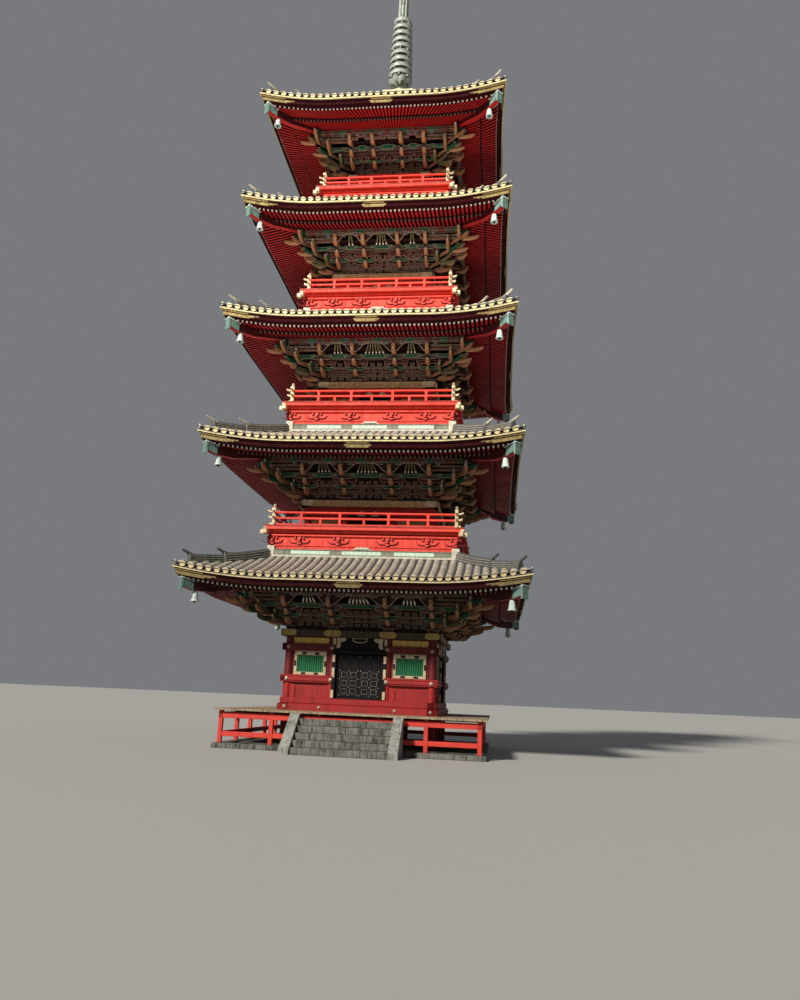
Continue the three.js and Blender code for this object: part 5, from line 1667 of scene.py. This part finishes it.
# Finial.
# Cast bronze, gone grey-green. A square box with sunk panels carries an upturned bowl and a lotus. Nine
# deep rings hang on spokes from the mast, under a fluted sleeve, four pierced flame plates and two jewels.
FINIAL_BOX = ((0, 0.10, 0.65), (0.10, 0.14, 0.62), (0.14, 0.46, 0.58), (0.46, 0.51, 0.62), (0.51, 0.60, 0.65))
FINIAL_SEAT = storeys[-1].roof(TOP_SEAT) + 0.0903
LOTUS_TOP = 0.90
PETALS = 8
PETAL_FROM = 0.22
RINGS = 9
BELL_RINGS = (0, 4, 8)
RING_SPACING = 0.35
FIRST_RING = 27.99
LOWEST_RING = 0.52
RING_TAPER = 0.012
RING_HEIGHT = 0.19
SPOKES = 8
FLUTES = 8
SLEEVE_FOOT = 31.10
SLEEVE_RADIUS = 0.15
SLEEVE_LENGTH = 1.15
FLAME_FOOT = 31.9
FLAME_HEIGHT = 1.4
FLAME_HALF = 0.41
FLAME_TONGUES = 5
TIP_Z = 34.9
BRONZE, PALE_BRONZE, BOX_GILT = range(3)

bronze_finishes = [
    finish("verdigris_bronze", (0.13, 0.165, 0.13), (0.035, 0.05, 0.04), 0.9, 0.12, 0.02, 0.5, 0.3, 0.006),
    finish("pale_verdigris", (0.37, 0.41, 0.36), (0.14, 0.18, 0.16), 0.8, 0.08, 0.02, 0.5, 0.2),
    finish("finial_gilding", (0.66, 0.56, 0.38), (0.30, 0.25, 0.17), 0.8, 0.12, 0.02, 0.45, 0.25),
]

bm = bmesh.new()
crown = FINIAL_SEAT + FINIAL_BOX[-1][1]
for low, high, half in FINIAL_BOX:
    add_block(bm, (-half, -half, FINIAL_SEAT + low), (half, half, FINIAL_SEAT + high), BOX_GILT, 0.012)
panels = bmesh.new()
for x in (-0.36, 0, 0.36):
    corner = (x - 0.15, -0.60, FINIAL_SEAT + 0.17)
    add_block(panels, corner, (x + 0.15, -0.57, FINIAL_SEAT + 0.43), PALE_BRONZE, 0.012)
on_four_sides(panels)
stamp(bm, template(panels))
bowl = [(0, -0.005), (0.48, -0.005), (0.48, 0.05), (0.455, 0.07), (0.462, 0.12), (0.43, 0.22), (0.35, 0.31)]
bowl += [(0.25, 0.36), (0.22, 0.37), (0.24, 0.39), (0.20, 0.43), (0.20, 0.46), (0, 0.46)]
stamp(bm, turned(bowl, 32, BOX_GILT), at(0, 0, crown))
flare = [(0, 0.45), (0.20, 0.46), (0.25, 0.50), (0.33, 0.56), (0.42, 0.68), (0.50, 0.84), (0.526, LOTUS_TOP)]
flare += [(0.48, 0.885), (0.36, 0.80), (0.16, 0.84), (0.14, 0.895), (0, 0.898)]
lotus = turned(flare, 64)
for vert in lotus.vertices:
    out = vert.co.xy.length
    if out > PETAL_FROM:
        petal = abs(math.sin(math.atan2(vert.co.y, vert.co.x) * PETALS / 2))
        gap = min(1.0, (out - PETAL_FROM) / 0.25) * (1 - petal)
        drawn_in = 1 - 0.16 * gap
        vert.co = Vector((vert.co.x * drawn_in, vert.co.y * drawn_in, vert.co.z - 0.07 * gap))
for face in lotus.polygons:
    rim = face.center.z > 0.62 or (face.index // 2) % 4 == 0
    face.material_index = PALE_BRONZE if rim else BRONZE
stamp(bm, lotus, at(0, 0, crown))
make_piece("finial_pedestal", bm, bronze_finishes, ["finial_base"], smooth_below=40)

bm = bmesh.new()
mast_foot = crown + LOTUS_TOP + SEATED
mast = [(0, mast_foot), (0.13, mast_foot), (0.10, mast_foot + 0.1), (0.085, SLEEVE_FOOT), (0.17, SLEEVE_FOOT)]
mast += [(0.18, SLEEVE_FOOT + 0.04), (0.14, SLEEVE_FOOT + 0.08), (SLEEVE_RADIUS, SLEEVE_FOOT + 0.14)]
mast += [(SLEEVE_RADIUS, FLAME_FOOT), (0.07, FLAME_FOOT + 0.06), (0.05, FLAME_FOOT + FLAME_HEIGHT)]
lower_jewel = [(0.12, 1.50), (0.05, 1.43), (0.05, 1.35), (0.11, 1.28), (0.148, 1.18), (0.145, 1.10)]
neck = [(0.10, 0.98), (0.05, 0.92), (0.05, 0.82), (0.10, 0.78)]
upper_jewel = [(0.17, 0.66), (0.19, 0.54), (0.17, 0.40), (0.11, 0.24), (0.05, 0.12), (0, 0)]
mast += [(radius, TIP_Z - below) for radius, below in (*lower_jewel, *neck, *upper_jewel)]
stamp(bm, turned(mast, 24, PALE_BRONZE))
rod = turned([(0, 0), (0.045, 0), (0.045, SLEEVE_LENGTH), (0, SLEEVE_LENGTH + 0.05)], 8, PALE_BRONZE)
for flute in range(FLUTES):
    turn = Matrix.Rotation(flute * 2 * math.pi / FLUTES, 4, "Z")
    stamp(bm, rod, turn @ Matrix.Translation((SLEEVE_RADIUS + 0.03, 0, SLEEVE_FOOT + 0.10)))
bell_profile = [(0, 0.13), (0.016, 0.13), (0.030, 0.09), (0.040, 0.0), (0.030, 0.0), (0.02, 0.08), (0, 0.09)]
small_bell = turned(bell_profile, 8, PALE_BRONZE)
rim_profile = [(-0.06, 0.012), (-0.03, 0.02), (-0.015, 0), (0, 0.006), (0, 0.03), (-0.014, 0.04)]
rim_profile += [(-0.010, RING_HEIGHT - 0.04), (0, RING_HEIGHT - 0.03), (0, RING_HEIGHT - 0.006)]
rim_profile += [(-0.015, RING_HEIGHT), (-0.03, RING_HEIGHT - 0.02), (-0.06, RING_HEIGHT - 0.012)]
hub = [(0, -0.06), (0.13, -0.06), (0.15, -0.02), (0.13, 0.02), (0.13, 0.16), (0.155, 0.19)]
ring_hub = turned([*hub, (0.12, 0.23), (0, 0.23)], 16, BRONZE)
for i in range(RINGS):
    z = FIRST_RING + i * RING_SPACING
    radius = LOWEST_RING - i * RING_TAPER
    rim = [(radius + out, height) for out, height in (*rim_profile, rim_profile[0])]
    stamp(bm, turned(rim, 32, PALE_BRONZE), at(0, 0, z))
    stamp(bm, ring_hub, at(0, 0, z))
    arm = [(0.10, z + 0.06), (radius - 0.05, z + 0.07), (radius - 0.05, z + 0.11), (0.10, z + 0.13)]
    for spoke in range(SPOKES):
        turn = Matrix.Rotation((2 * spoke + i % 2) * math.pi / SPOKES, 4, "Z")
        add_plate(bm, arm, 0.03, turn, (BRONZE, BRONZE))
        if i in BELL_RINGS:
            stamp(bm, small_bell, turn @ Matrix.Translation((radius - 0.035, 0, z - 0.12)))
for side in range(4):
    turn = Matrix.Rotation(side * math.pi / 2, 4, "Z")
    for tongue in range(FLAME_TONGUES):
        low = FLAME_FOOT + 0.38 + tongue * 0.13
        reach = FLAME_HALF * (1 - 0.12 * abs(tongue - 1.5))
        top = min(low + 0.62, FLAME_FOOT + FLAME_HEIGHT)
        outline = [(0.03, low), (reach * 0.55, low + 0.02), (reach * 0.93, low + 0.14), (reach, low + 0.32)]
        outline += [(reach * 0.78, top), (reach * 0.80, low + 0.36), (reach * 0.66, low + 0.20)]
        add_plate(bm, [*outline, (0.03, low + 0.12)], 0.026, turn, (PALE_BRONZE, PALE_BRONZE))
make_piece("finial_mast_and_rings", bm, bronze_finishes, ["finial_spire"], smooth_below=40)
